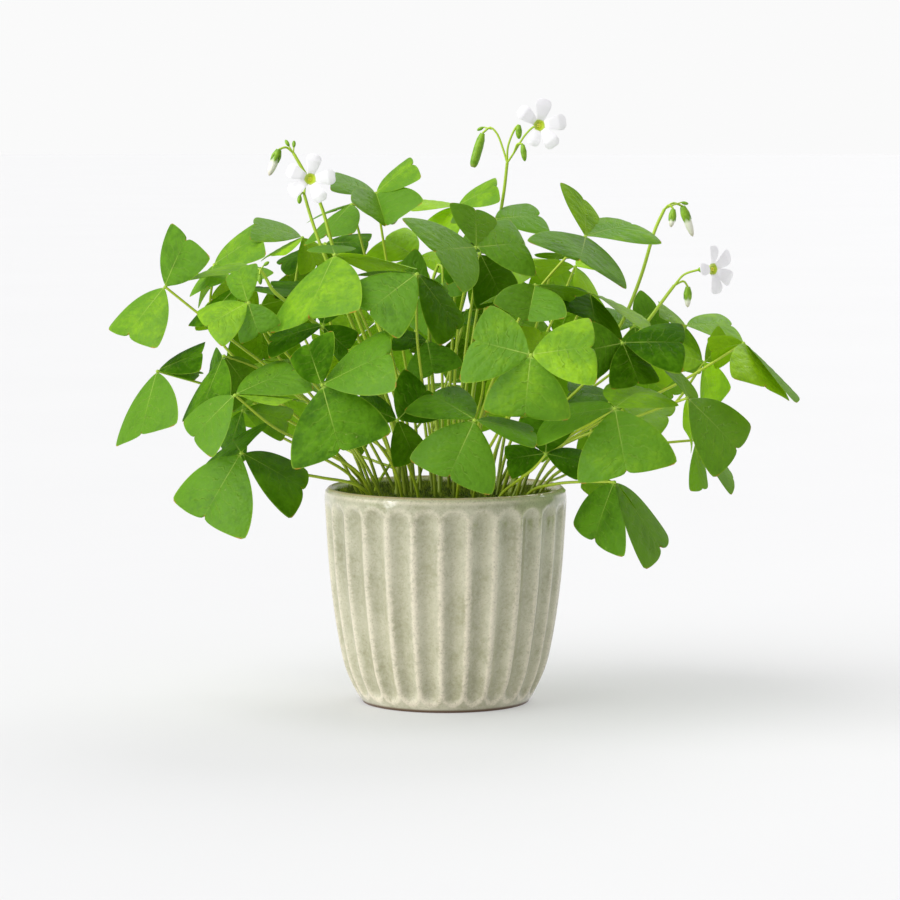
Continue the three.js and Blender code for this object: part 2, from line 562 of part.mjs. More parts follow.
// ---------------------------------------------------------------- flowers
const knob = (at, radius) => solidOf(new THREE.OctahedronGeometry(radius).translate(at.x, at.y, at.z));

const placeOf = ([across, up, nearer]) => seen(across, up, nearer);

// Where a flower's calyx begins and ends behind its throat.
function calyxOf({ bloom, faces }) {
  const axis = new THREE.Vector3(...faces).normalize();
  const front = placeOf(bloom).addScaledVector(axis, -FUNNEL_LENGTH - GAP);
  return { back: front.clone().addScaledVector(axis, -CALYX_LENGTH), front, axis };
}

function spraySolid(spray) {
  const path = spray.path.map(placeOf);
  if (!spray.bloom) {
    const pedicel = tube(smooth(path), PEDICEL_RADIUS, PEDICEL_SIDES, PEDICEL_STEPS);
    const bud = turned(path.at(-1), placeOf(spray.bud), BUD.map((r) => r * spray.wide), BUD_SIDES);
    return pedicel.add(bud);
  }
  const { back, front } = calyxOf(spray);
  const pedicel = tube(smooth([...path, back]), PEDICEL_RADIUS, PEDICEL_SIDES, PEDICEL_STEPS);
  return pedicel.add(turned(back, front, CALYX, BUD_SIDES));
}

// The white corolla: five petals round a throat, and the tube behind it.
function bloomSolid(spray) {
  const { front, axis } = calyxOf(spray);
  const middle = placeOf(spray.bloom);
  const right = new THREE.Vector3().crossVectors(UP, axis).normalize();
  const rise = new THREE.Vector3().crossVectors(axis, right);
  const bearings = spray.petals.map(([degrees]) => THREE.MathUtils.degToRad(degrees));
  const place = (bearing, along, aside, forward) => {
    const flat = new THREE.Vector2(along, aside).rotateAround(new THREE.Vector2(), bearing);
    const point = middle.clone().addScaledVector(right, flat.x).addScaledVector(rise, flat.y);
    return { place: point.addScaledVector(axis, forward), thick: axis.clone().multiplyScalar(PETAL_THICK) };
  };
  const round = spray.petals.map((petal, k) => ({ bearing: bearings[k], length: petal[1] }))
    .sort((a, b) => a.bearing - b.bearing);
  const outline = round.flatMap(({ bearing, length }, k) => {
    const half = PETAL_HALF.map(([s, t], i) => [s * length, t * length, PETAL_RISE[i]]);
    const edge = [...half.map(([s, t, f]) => [s, -t, f]), ...half.reverse()];
    const last = k === round.length - 1;
    const next = last ? round[0].bearing + 2 * Math.PI : round[k + 1].bearing;
    return [...edge.map((at) => place(bearing, ...at)), place((bearing + next) / 2, THROAT, 0, THROAT_RISE)];
  });
  const ring = outline.map((_, k) => k + 1);
  const petals = sheetSolid([place(0, 0, 0, 0), ...outline], fan(0, ring), ring);
  const behind = front.clone().addScaledVector(axis, GAP);
  return petals.add(turned(behind, middle, FUNNEL, BUD_SIDES));
}

// ---------------------------------------------------------------- the plant
const leaves = LEAVES.map(leafOf);
const tufts = TUFTS.map((rows) => rows.map(([row, degrees, lift]) => turnedLeaf(leaves[row], degrees, lift)));
const blades = leaves.map(bladeSolid);
const tuftBlades = tufts.map((tuft) => tuft.map(bladeSolid));
const flowers = SCAPES.flatMap(({ sprays }) => sprays.filter(({ bloom }) => bloom));
const blooms = flowers.map(bloomSolid);
const pot = potSolid();

const sumOf = (vectors) => vectors.reduce((sum, vector) => sum.add(vector), new THREE.Vector3());
const middleOf = (tuft) => sumOf(tuft.map(({ joint }) => joint)).divideScalar(tuft.length);
const roots = plantRoots([
  ...leaves.map(({ joint }) => ({ tip: joint, room: STALK_ROOM })),
  ...tufts.map((tuft) => ({ tip: middleOf(tuft), room: CROWN_ROOM })),
  ...SCAPES.map(({ stalk }) => ({ tip: placeOf(stalk[0]), room: STALK_ROOM })),
]);
const leafRoots = roots.splice(0, leaves.length);
const crownRoots = roots.splice(0, tufts.length);
const below = (root, depth) => root.clone().addScaledVector(UP, -depth);

// A crown, or the hole for one, which is wider and deeper.
const crownSolid = (root, room) => turned(
  below(root, CROWN_DEPTH + room),
  below(root, -CROWN_PROUD - room),
  [CROWN_RADIUS + room, CROWN_RADIUS + room],
  CROWN_SIDES,
);
const crowns = crownRoots.map((root) => crownSolid(root, 0));
const crownHoles = crownRoots.map((root) => crownSolid(root, 1.5 * GAP));

// What stands already, for each stalk to keep clear of. Flowers take their place first, then tufts, then
// single leaves.
const taken = [...blades, ...tuftBlades.flat(), ...blooms, pot, ...crownHoles];
const holes = [...crownHoles];

const scapes = SCAPES.map(({ stalk, sprays }, k) => {
  const points = stalk.map(placeOf);
  const axis = points[1].clone().sub(points[0]).normalize();
  const lower = clearStalk(below(roots[k], ROOT_DEPTH), points[0], axis, SCAPE_RADIUS, taken);
  const whole = smooth([...lower.getSpacedPoints(STALK_STEPS), ...points.slice(1)]);
  const stem = tube(whole, SCAPE_RADIUS, SCAPE_SIDES, SCAPE_STEPS);
  const solid = union([stem, knob(points.at(-1), FORK_RADIUS), ...sprays.map(spraySolid)]);
  taken.push(solid);
  holes.push(holeFor(whole, SCAPE_RADIUS, SCAPE_STEPS));
  return solid;
});

const tuftSolids = tufts.map((tuft, t) => {
  const stalks = tuft.map((leaf, k) => {
    const aside = Math.atan2(leaf.joint.y - crownRoots[t].y, leaf.joint.x - crownRoots[t].x);
    const turn = Math.PI / 4 + (k * Math.PI) / 2 + aside;
    const root = below(crownRoots[t], CROWN_DEPTH - 1);
    root.x += CROWN_STALK * Math.cos(turn);
    root.y += CROWN_STALK * Math.sin(turn);
    const others = taken.filter((solid) => solid !== crownHoles[t]);
    const curve = clearStalk(root, leaf.joint, arrival(leaf, root), STALK_RADIUS, others, tuftBlades[t][k]);
    const stalk = tube(curve, STALK_RADIUS, STALK_SIDES, STALK_STEPS);
    taken.push(stalk);
    return stalk.add(tuftBlades[t][k]);
  });
  return union([crowns[t], ...stalks]);
});

const leafSolids = leaves.map((leaf, k) => {
  const root = below(leafRoots[k], ROOT_DEPTH);
  const axis = arrival(leaf, root, COMES_FROM.get(k));
  const curve = clearStalk(root, leaf.joint, axis, STALK_RADIUS, taken, blades[k]);
  const stalk = tube(curve, STALK_RADIUS, STALK_SIDES, STALK_STEPS);
  taken.push(stalk);
  holes.push(holeFor(curve, STALK_RADIUS, STALK_STEPS));
  return stalk.add(blades[k]);
});

const soil = soilSolid().subtract(union(holes));

const group = new THREE.Group();
const add = (name, solid, look) => group.add(pieceOf(name, solid, look));
add('pot', pot, GLAZE);
add('soil', soil, SOIL);
leafSolids.forEach((solid, k) => add(`leaf_${String(k + 1).padStart(2, '0')}`, solid, LEAF));
tuftSolids.forEach((solid, k) => add(`tuft_${k + 1}`, solid, LEAF));
scapes.forEach((solid, k) => add(`scape_${k + 1}`, solid, SCAPE));
blooms.forEach((solid, k) => add(`bloom_${k + 1}`, solid, PETAL));

export default group;
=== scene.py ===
# %% [markdown]
# # A white-flowered shamrock in a fluted pot
#
# Oxalis triangularis grows its leaves and flowers straight out of the soil, each on a stalk of its own. A
# leaf is three folded leaflets round one joint. The plain solids of this plant are loaded as a frame, and
# this lesson dresses them: it grows finer blades, stalks, flowers, pot and moss where the solids are.

# %% Load the frame
import math

import bmesh
import bpy
import numpy as np
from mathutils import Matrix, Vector, noise


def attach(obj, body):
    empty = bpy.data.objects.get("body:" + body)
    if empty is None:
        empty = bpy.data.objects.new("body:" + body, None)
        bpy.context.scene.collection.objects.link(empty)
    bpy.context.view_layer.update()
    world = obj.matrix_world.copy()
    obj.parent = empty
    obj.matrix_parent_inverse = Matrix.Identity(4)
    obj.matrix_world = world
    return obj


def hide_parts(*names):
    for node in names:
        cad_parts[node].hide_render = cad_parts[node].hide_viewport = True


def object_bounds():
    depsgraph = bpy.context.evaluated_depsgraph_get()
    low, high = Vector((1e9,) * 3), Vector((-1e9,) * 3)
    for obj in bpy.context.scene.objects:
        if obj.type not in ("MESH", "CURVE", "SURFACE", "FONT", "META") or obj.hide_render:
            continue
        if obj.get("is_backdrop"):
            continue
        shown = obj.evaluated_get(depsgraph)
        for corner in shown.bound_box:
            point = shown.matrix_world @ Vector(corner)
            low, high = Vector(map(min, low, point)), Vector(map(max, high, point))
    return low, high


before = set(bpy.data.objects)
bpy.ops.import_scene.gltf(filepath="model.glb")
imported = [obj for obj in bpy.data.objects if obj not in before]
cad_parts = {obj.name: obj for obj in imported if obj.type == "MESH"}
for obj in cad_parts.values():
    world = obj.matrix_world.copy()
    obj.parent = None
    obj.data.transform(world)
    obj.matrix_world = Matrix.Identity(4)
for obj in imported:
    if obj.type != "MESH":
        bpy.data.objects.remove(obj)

MM = 0.001
cad_low, cad_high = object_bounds()
print("frame, mm:", [round(v / MM) for v in (*cad_low, *cad_high)])


# %% [markdown]
# ## Studio
# The plant is looked at from a little above, from nearly two metres away through a long lens, so that near
# and far leaves keep the same scale. A white sky and a broad, very soft sun from the upper left give even
# light, and a weaker one from behind shines through the thin leaves. A low one from the left, without
# shadows, brightens the side of the pot, as a white card would. Suns light near and far floor alike.

# %% Camera
scene = bpy.context.scene
EYE = np.array([2.25, -1830, 290])
AIM = np.array([2.25, 0, 126])
LENS = 147.2


def put_in_scene(name, data):
    """A new object with its data, in the scene."""
    made = bpy.data.objects.new(name, data)
    scene.collection.objects.link(made)
    return made


camera = put_in_scene("camera", bpy.data.cameras.new("camera"))
camera.data.lens = LENS
camera.data.clip_start = 0.05
camera.location = Vector(EYE * MM)
camera.rotation_euler = Vector(AIM - EYE).to_track_quat("-Z", "Y").to_euler()
scene.camera = camera
scene.view_settings.view_transform = "Standard"
print("camera", camera.location[:], "lens", LENS)


# %% Lamps and sky
def add_sun(name, comes_from, spread_degrees, strength, shadows=True):
    """A sun that is as wide as a soft box."""
    sun = put_in_scene(name, bpy.data.lights.new(name, "SUN"))
    sun.data.angle = math.radians(spread_degrees)
    sun.data.energy = strength
    sun.data.use_shadow = shadows
    sun.rotation_euler = (-Vector(comes_from)).to_track_quat("-Z", "Y").to_euler()


add_sun("key_sun", (-1.05, -0.5, 1.5), 62, 2.35)
add_sun("back_sun", (0.5, 1.1, 1.1), 40, 1.0)
add_sun("side_sun", (-1.0, -0.45, 0.25), 36, 1.4, shadows=False)

SKY_LIGHT = 0.45
SKY_SEEN = 0.957
world = bpy.data.worlds.new("studio_sky")
world.use_nodes = True
scene.world = world
sky = world.node_tree.nodes["Background"]
sky.inputs["Color"].default_value = (1, 1, 1, 1)


# %% [markdown]
# ## Helpers for node trees
# Shader trees and geometry trees are wired in the same way: a socket gets either a plain value or a link.

# %% Wiring
def feed(tree, socket, source):
    """Link a socket to another, or give it a plain value."""
    if isinstance(source, bpy.types.NodeSocket):
        tree.links.new(source, socket)
    else:
        socket.default_value = source


def add_node(tree, kind, settings=None, **inputs):
    """A node with its settings, and its inputs by name (spaces as underscores)."""
    made = tree.nodes.new(kind)
    for name, value in (settings or {}).items():
        setattr(made, name, value)
    for name, value in inputs.items():
        feed(tree, made.inputs[name.replace("_", " ")], value)
    return made


def maths(tree, operation, *values):
    """One sum on numbers."""
    made = add_node(tree, "ShaderNodeMath", {"operation": operation})
    for socket, value in zip(made.inputs, values):
        feed(tree, socket, value)
    return made.outputs[0]


def times(tree, one, two):
    return maths(tree, "MULTIPLY", one, two)


def plus(tree, one, two):
    return maths(tree, "ADD", one, two)


def minus(tree, one, two):
    return maths(tree, "SUBTRACT", one, two)


def larger(tree, one, two):
    return maths(tree, "MAXIMUM", one, two)


def between(tree, value, low, high, to_low=0.0, to_high=1.0):
    """0 below low, 1 above high and smooth in between, or the same to other ends."""
    made = add_node(tree, "ShaderNodeMapRange", {"interpolation_type": "SMOOTHSTEP"}, Value=value)
    for name, end in (("From Min", low), ("From Max", high), ("To Min", to_low), ("To Max", to_high)):
        feed(tree, made.inputs[name], end)
    return made.outputs["Result"]


def linear(value):
    """One channel of a screen colour, 0 to 255, as linear light (the sRGB curve)."""
    return value / 255 / 12.92 if value < 11 else ((value / 255 + 0.055) / 1.055) ** 2.4


def colour(red, green, blue):
    """A screen colour as the linear light that shaders want."""
    return (linear(red), linear(green), linear(blue), 1.0)


def blend(tree, share, one, two):
    """Colour one turning into colour two."""
    made = add_node(tree, "ShaderNodeMix", {"data_type": "RGBA"})
    for index, value in ((0, share), (6, one), (7, two)):
        feed(tree, made.inputs[index], value)
    return made.outputs[2]


def mark(tree, name):
    """A number that was stored with the mesh, under that name, for a shader."""
    return add_node(tree, "ShaderNodeAttribute", {"attribute_name": name}).outputs["Fac"]


def stored(tree, name):
    """The same, for a geometry tree."""
    named = add_node(tree, "GeometryNodeInputNamedAttribute", {"data_type": "FLOAT"}, Name=name)
    return named.outputs["Attribute"]


def object_place(tree):
    """Where a shaded point lies on its object."""
    return add_node(tree, "ShaderNodeTexCoord").outputs["Object"]


# %% [markdown]
# ## Effects that several finishes share
# Nothing that grew or was fired is one flat colour. `mottle` gives cloudy patches of any size, and
# `quilting` the fine cells that stand out between the smallest veins of a leaf, or in the skin of a petal.
# Both are groups, so that every finish can place them at its own scale.

# %% Shader groups
def shader_group(name, inputs, output):
    """An empty shader group with number inputs and one number output."""
    group = bpy.data.node_groups.new(name, "ShaderNodeTree")
    for label, value in inputs.items():
        socket = group.interface.new_socket(label, in_out="INPUT", socket_type="NodeSocketFloat")
        socket.default_value = value
    group.interface.new_socket(output, in_out="OUTPUT", socket_type="NodeSocketFloat")
    return group, group.nodes.new("NodeGroupInput").outputs, group.nodes.new("NodeGroupOutput").inputs


mottle, given, put_out = shader_group("mottle", {"Size": 0.01, "Low": 0.35, "High": 0.65}, "Mask")
place = object_place(mottle)
clouds = add_node(mottle, "ShaderNodeTexNoise", Vector=place, Detail=4.0, Roughness=0.6)
feed(mottle, clouds.inputs["Scale"], maths(mottle, "DIVIDE", 1.0, given["Size"]))
feed(mottle, put_out["Mask"], between(mottle, clouds.outputs["Fac"], given["Low"], given["High"]))

quilting, given, put_out = shader_group("quilting", {"Size": 0.001, "Warp": 0.0004}, "Height")
place = object_place(quilting)
drift = add_node(quilting, "ShaderNodeTexNoise", Vector=place, Scale=400.0, Detail=2.0).outputs["Color"]
pushed = add_node(quilting, "ShaderNodeVectorMath", {"operation": "SCALE"})
feed(quilting, pushed.inputs[0], drift)
feed(quilting, pushed.inputs["Scale"], given["Warp"])
moved = add_node(quilting, "ShaderNodeVectorMath", {"operation": "ADD"})
feed(quilting, moved.inputs[0], place)
feed(quilting, moved.inputs[1], pushed.outputs[0])
cells = add_node(quilting, "ShaderNodeTexVoronoi", {"feature": "SMOOTH_F1"}, Vector=moved.outputs[0])
feed(quilting, cells.inputs["Scale"], maths(quilting, "DIVIDE", 1.0, given["Size"]))
feed(quilting, put_out["Height"], minus(quilting, 1.0, cells.outputs["Distance"]))
print("shader groups:", mottle.name, quilting.name)


def use_group(tree, group, **inputs):
    """One use of a shared group, as its output socket."""
    made = tree.nodes.new("ShaderNodeGroup")
    made.node_tree = group
    for name, value in inputs.items():
        feed(tree, made.inputs[name], value)
    return made.outputs[0]


def cloudy(tree, size, low=0.3, high=0.7):
    """Patches of `mottle` of that size in metres."""
    return use_group(tree, mottle, Size=size, Low=low, High=high)


def finish(name, **shader):
    """A material with its Principled shader's plain values set, its tree and that shader."""
    made = bpy.data.materials.new(name)
    made.use_nodes = True
    principled = made.node_tree.nodes["Principled BSDF"]
    for label, value in shader.items():
        principled.inputs[label.replace("_", " ")].default_value = value
    return made, made.node_tree, principled


def tint(tree, principled, body):
    feed(tree, principled.inputs["Base Color"], body)


def emboss(tree, principled, height, depth_mm, strength=1.0):
    """Relief too fine for the mesh."""
    bump = add_node(tree, "ShaderNodeBump", Height=height, Distance=depth_mm * MM, Strength=strength)
    feed(tree, principled.inputs["Normal"], bump.outputs["Normal"])


def let_light_through(tree, principled, glow_colour, share):
    """Lay a see-through glow under a shader, as in a thin leaf or petal with the light behind it."""
    glow = add_node(tree, "ShaderNodeBsdfTranslucent", Color=glow_colour)
    both = tree.nodes.new("ShaderNodeMixShader")
    both.inputs["Fac"].default_value = share
    tree.links.new(principled.outputs[0], both.inputs[1])
    tree.links.new(glow.outputs[0], both.inputs[2])
    tree.links.new(both.outputs[0], tree.nodes["Material Output"].inputs["Surface"])


# %% [markdown]
# ## Floor
# A white floor that reaches far past the picture meets a sky of the same white, so there is no horizon from
# any side. It is part of the studio, not of the plant. Like a light table the floor glows a little, which
# keeps the shadows pale. The sky looks brighter to the camera than it lights.

# %% Floor and sky
FLOOR_REACH = 30.0
FLOOR_SIDES = 64
FLOOR_GLOW = 0.32

seen_by_camera = world.node_tree.nodes.new("ShaderNodeLightPath").outputs["Is Camera Ray"]
feed(
    world.node_tree, sky.inputs["Strength"],
    between(world.node_tree, seen_by_camera, 0.0, 1.0, SKY_LIGHT, SKY_SEEN),
)
turns = np.linspace(0, 2 * math.pi, FLOOR_SIDES, endpoint=False)
floor_mesh = bpy.data.meshes.new("floor")
floor_mesh.from_pydata(
    [(FLOOR_REACH * math.cos(t), FLOOR_REACH * math.sin(t), 0) for t in turns], [], [range(FLOOR_SIDES)],
)
floor = put_in_scene("floor", floor_mesh)
floor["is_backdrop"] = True

paper, tree, shader = finish(
    "white_paper", Roughness=0.7, Specular_IOR_Level=0.2,
    Emission_Color=(1, 1, 1, 1), Emission_Strength=FLOOR_GLOW,
)
patches = cloudy(tree, 0.5, 0.2, 0.8)
tint(tree, shader, blend(tree, patches, colour(178, 178, 179), colour(180, 180, 181)))
floor_mesh.materials.append(paper)
print("floor reach, m:", FLOOR_REACH)


# %% [markdown]
# ## Helpers for meshes
# `Clay` gathers the points and faces of one piece, together with numbers for each point that the finish
# reads: how far along a leaf a point lies, how ripe it is (on a stalk this also paints shade at its foot),
# which side it is on. Points are in millimetres until the mesh is made.

# %% Gathering a mesh
MERGE = 0.01
CREASE = math.radians(50)


class Clay:
    def __init__(self, *marks):
        self.points = []
        self.faces = []
        self.marks = {name: [] for name in marks}

    def add(self, points, faces, **marks):
        start = len(self.points)
        self.points.extend(points)
        self.faces.extend([[start + k for k in face] for face in faces])
        for name, values in self.marks.items():
            values.extend(np.broadcast_to(marks.get(name, 0.0), len(points)).tolist())

    def object(self, name, *materials):
        """The gathered mesh as an object, its doubled points merged."""
        mesh = bpy.data.meshes.new(name)
        mesh.from_pydata([tuple(p) for p in np.array(self.points) * MM], [], self.faces)
        for label, values in self.marks.items():
            mesh.attributes.new(label, "FLOAT", "POINT").data.foreach_set("value", values)
        loose = bmesh.new()
        loose.from_mesh(mesh)
        bmesh.ops.remove_doubles(loose, verts=loose.verts, dist=MERGE * MM)
        loose.to_mesh(mesh)
        loose.free()
        mesh.polygons.foreach_set("use_smooth", [True] * len(mesh.polygons))
        mesh.set_sharp_from_angle(angle=CREASE)
        for material in materials:
            mesh.materials.append(material)
        return put_in_scene(name, mesh)


def grid_faces(rows, columns, flipped=False):
    """Faces of a grid whose points are listed row by row."""
    corners = [
        (r * columns + c, r * columns + c + 1, (r + 1) * columns + c + 1, (r + 1) * columns + c)
        for r in range(rows - 1)
        for c in range(columns - 1)
    ]
    return [corner[::-1] for corner in corners] if flipped else corners


def unit(vector):
    return vector / np.linalg.norm(vector)


def across_from(along):
    """Two directions square to one another and to `along`."""
    side = unit(np.cross(along, [0.31, 0.17, 0.94]))
    return side, np.cross(along, side)


def add_turned(clay, start, end, profile, sides=10, **marks):
    """A round solid from start to end. The profile is pairs of (share of the way, radius)."""
    start, end = np.array(start), np.array(end)
    side, other = across_from(unit(end - start))
    turns = np.linspace(0, 2 * math.pi, sides + 1)
    points = [
        start + (end - start) * share + radius * (math.cos(t) * side + math.sin(t) * other)
        for share, radius in profile
        for t in turns
    ]
    shares = np.repeat([share for share, _ in profile], sides + 1)
    made = {name: value(shares) if callable(value) else value for name, value in marks.items()}
    clay.add(points, grid_faces(len(profile), sides + 1, flipped=True), **made)


def dress(piece, slot, *nodes):
    """Hang a piece on the root body, hide the plain parts that it stands for and print its faces. The slot
    is not used.
    """
    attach(piece, "root")
    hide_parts(*nodes)
    print(piece.name, len(piece.data.polygons), "faces")


# %% [markdown]
# ## Growing with Geometry Nodes
# A tree of geometry nodes is a rule that can be run again with other sizes. Here each rule runs once on a
# small source object, and the result is kept as a plain mesh, so that no modifier is left behind.

# %% Running a geometry tree
def geometry_tree(name, **inputs):
    """An empty geometry tree with named inputs, and its input and output nodes."""
    kinds = {int: "NodeSocketInt", float: "NodeSocketFloat"}
    tree = bpy.data.node_groups.new(name, "GeometryNodeTree")
    tree.interface.new_socket("Geometry", in_out="INPUT", socket_type="NodeSocketGeometry")
    for label, value in inputs.items():
        kind = kinds.get(type(value), "NodeSocketObject")
        socket = tree.interface.new_socket(label.replace("_", " "), in_out="INPUT", socket_type=kind)
        if kind != "NodeSocketObject":
            socket.default_value = value
    tree.interface.new_socket("Geometry", in_out="OUTPUT", socket_type="NodeSocketGeometry")
    return tree, tree.nodes.new("NodeGroupInput").outputs, tree.nodes.new("NodeGroupOutput").inputs


def end_tree(tree, put_out, geometry, material):
    """The last nodes of every tree: smooth, real geometry with its material."""
    smooth = add_node(tree, "GeometryNodeSetShadeSmooth", Geometry=geometry).outputs[0]
    real = add_node(tree, "GeometryNodeRealizeInstances", Geometry=smooth).outputs[0]
    dressed = add_node(tree, "GeometryNodeSetMaterial", Geometry=real, Material=material)
    feed(tree, put_out[0], dressed.outputs[0])


def grow(name, source, tree, **inputs):
    """Run a tree on a source object, and keep the result in place of the source."""
    modifier = source.modifiers.new("grow", "NODES")
    modifier.node_group = tree
    for item in tree.interface.items_tree:
        key = item.name.replace(" ", "_")
        if item.in_out == "INPUT" and key in inputs:
            modifier[item.identifier] = inputs[key]
    graph = bpy.context.evaluated_depsgraph_get()
    mesh = bpy.data.meshes.new_from_object(
        source.evaluated_get(graph), preserve_all_data_layers=True, depsgraph=graph,
    )
    source.modifiers.remove(modifier)
    bpy.data.objects.remove(source)
    mesh.name = name
    return put_in_scene(name, mesh)


def lines_object(name, lines, **marks):
    """An object of bare lines. Marks hold one number for each point of each line."""
    mesh = bpy.data.meshes.new(name)
    starts = np.cumsum([0, *map(len, lines)])
    edges = [(s + k, s + k + 1) for s, line in zip(starts, lines) for k in range(len(line) - 1)]
    mesh.from_pydata([tuple(p) for line in lines for p in np.array(line) * MM], edges, [])
    for label, values in marks.items():
        mesh.attributes.new(label, "FLOAT", "POINT").data.foreach_set("value", np.concatenate(values))
    return put_in_scene(name, mesh)


def flow(points, count):
    """A smooth line of `count` points through a few points (centripetal Catmull-Rom)."""
    points = np.array(points, float)
    ends = [2 * points[0] - points[1], *points, 2 * points[-1] - points[-2]]
    gaps = np.sqrt(np.linalg.norm(np.diff(ends, axis=0), axis=1))
    knots = np.concatenate([[0], np.cumsum(gaps)])
    line = []
    for t in np.linspace(knots[1], knots[-2], count):
        k = min(np.searchsorted(knots, t, side="right") - 1, len(points) - 1)
        k = max(k, 1)
        (a, b, c, d), (ta, tb, tc, td) = ends[k - 1:k + 3], knots[k - 1:k + 3]
        ab = a + (b - a) * (t - ta) / (tb - ta)
        bc = b + (c - b) * (t - tb) / (tc - tb)
        cd = c + (d - c) * (t - tc) / (td - tc)
        abc = ab + (bc - ab) * (t - ta) / (tc - ta)
        bcd = bc + (cd - bc) * (t - tb) / (td - tb)
        line.append(abc + (bcd - abc) * (t - tb) / (tc - tb))
    return np.array(line)


# %% [markdown]
# ## Pot
# The pot was thrown or cast with 27 shallow hollows round its wall, each ending in a round arch at the top
# and the foot. Such a wall follows a rule: a profile turned about the axis, less the depth of the hollow at
# that place. One could carve 27 hollows with booleans, but the rule is exact, needs no clean-up, and also
# says how far each point is from a ridge, where the glaze runs thin. EASE rounds the ridges over, and
# FULL_DEPTH makes up for the depth that this costs.

# %% Pot sizes
POT_OUTER = [(41.5, 0), (44.2, 4), (50, 16), (53.8, 32), (57.8, 60), (60, 90), (60.5, 102), (60.1, 106)]
POT_RIM = [(58, 107.8), (55.8, 106)]
POT_INNER = [(55.3, 102), (53, 62), (49, 32), (43, 12), (38, 8)]
FLUTES = 27
FLUTE_DEPTH = 2.7
FLUTE_BOTTOM = 4.0
FLUTE_TOP = 102.0
FLUTE_TURN = math.radians(4.6 - 90)
ARCH = 6.5
EASE = 0.06
FULL_DEPTH = 1.27
ROUND_STEPS = 12
FOOT_ROUND = 0.8
FOOT_RECESS = 36
WALL_POINTS, RIM_POINTS, INSIDE_POINTS = 110, 14, 26


def pot_profile():
    """Half of the pot's section as points over the x axis, and 1 for each point of its outer wall."""
    wall = flow(POT_OUTER, WALL_POINTS)
    rim = flow([POT_OUTER[-1], *POT_RIM], RIM_POINTS)[1:-1]
    inside = flow([POT_RIM[-1], *POT_INNER], INSIDE_POINTS)
    foot = [(0, FOOT_ROUND), (FOOT_RECESS, FOOT_ROUND), (FOOT_RECESS + 1, 0)]
    line = [*foot, *wall, *rim, *inside, (0, POT_INNER[-1][1])]
    outer = [0.0] * len(foot) + [1.0] * len(wall) + [0.0] * (len(line) - len(wall) - len(foot))
    return [(r, 0, z) for r, z in line], outer


# %% Pot rule
def pot_tree(material):
    tree, given, put_out = geometry_tree(
        "fluted_pot", Flutes=FLUTES, Flute_Depth=FLUTE_DEPTH * MM, Flute_Turn=FLUTE_TURN,
        Flute_Bottom=FLUTE_BOTTOM * MM, Flute_Top=FLUTE_TOP * MM, Arch=ARCH * MM, Steps=ROUND_STEPS, Rows=2,
    )

    def m(operation, *values):
        return maths(tree, operation, *values)

    def of_row(kind, value):
        """A value of the section's point that belongs to this row of the grid."""
        taken = add_node(tree, "GeometryNodeSampleIndex", {"data_type": kind}, Index=row)
        feed(tree, taken.inputs["Geometry"], given["Geometry"])
        feed(tree, taken.inputs["Value"], value)
        return taken.outputs[0]

    around = m("ADD", m("MULTIPLY", given["Flutes"], given["Steps"]), 1.0)
    grid = add_node(tree, "GeometryNodeMeshGrid", Size_X=1.0, Size_Y=1.0, Vertices_X=around)
    feed(tree, grid.inputs["Vertices Y"], given["Rows"])
    here = add_node(tree, "GeometryNodeInputPosition").outputs[0]
    spot = add_node(tree, "ShaderNodeSeparateXYZ", Vector=here)
    row = m("ROUND", m("MULTIPLY", m("ADD", spot.outputs["Y"], 0.5), m("SUBTRACT", given["Rows"], 1.0)))
    radius, _, height = add_node(tree, "ShaderNodeSeparateXYZ", Vector=of_row("FLOAT_VECTOR", here)).outputs
    outer = of_row("FLOAT", stored(tree, "outer"))

    bearing = m("MULTIPLY", m("ADD", spot.outputs["X"], 0.5), 2 * math.pi)
    flutes_per_turn = m("DIVIDE", given["Flutes"], 2 * math.pi)
    turns = m("MULTIPLY", m("SUBTRACT", bearing, given["Flute Turn"]), flutes_per_turn)
    aside = m("MULTIPLY", m("PINGPONG", turns, 0.5), 2.0)
    above = m("SUBTRACT", height, m("SUBTRACT", given["Flute Top"], given["Arch"]))
    beneath = m("SUBTRACT", m("ADD", given["Flute Bottom"], given["Arch"]), height)
    beyond = m("DIVIDE", m("MAXIMUM", m("MAXIMUM", above, beneath), 0.0), given["Arch"])
    away = m("SQRT", m("ADD", m("MULTIPLY", aside, aside), m("MULTIPLY", beyond, beyond)))
    bowl = m("COSINE", m("MULTIPLY", m("MINIMUM", away, 1.0), math.pi / 2))
    eased = m("SUBTRACT", m("SQRT", m("ADD", m("MULTIPLY", bowl, bowl), EASE)), math.sqrt(EASE))
    depth = m("MULTIPLY", given["Flute Depth"], FULL_DEPTH)
    hollow = m("MULTIPLY", m("MULTIPLY", eased, outer), depth)
    reach = m("SUBTRACT", radius, hollow)
    place = add_node(tree, "ShaderNodeCombineXYZ", Z=height)
    feed(tree, place.inputs["X"], m("MULTIPLY", reach, m("COSINE", bearing)))
    feed(tree, place.inputs["Y"], m("MULTIPLY", reach, m("SINE", bearing)))

    kept = grid.outputs["Mesh"]
    for name, value in (("away", away), ("outer", outer)):
        kept = add_node(
            tree, "GeometryNodeStoreNamedAttribute", {"data_type": "FLOAT", "domain": "POINT"},
            Geometry=kept, Name=name, Value=value,
        ).outputs[0]
    wall = add_node(tree, "GeometryNodeSetPosition", Geometry=kept, Position=place.outputs[0]).outputs[0]
    whole = add_node(tree, "GeometryNodeMergeByDistance", Geometry=wall, Distance=MERGE * MM).outputs[0]
    end_tree(tree, put_out, whole, material)
    return tree
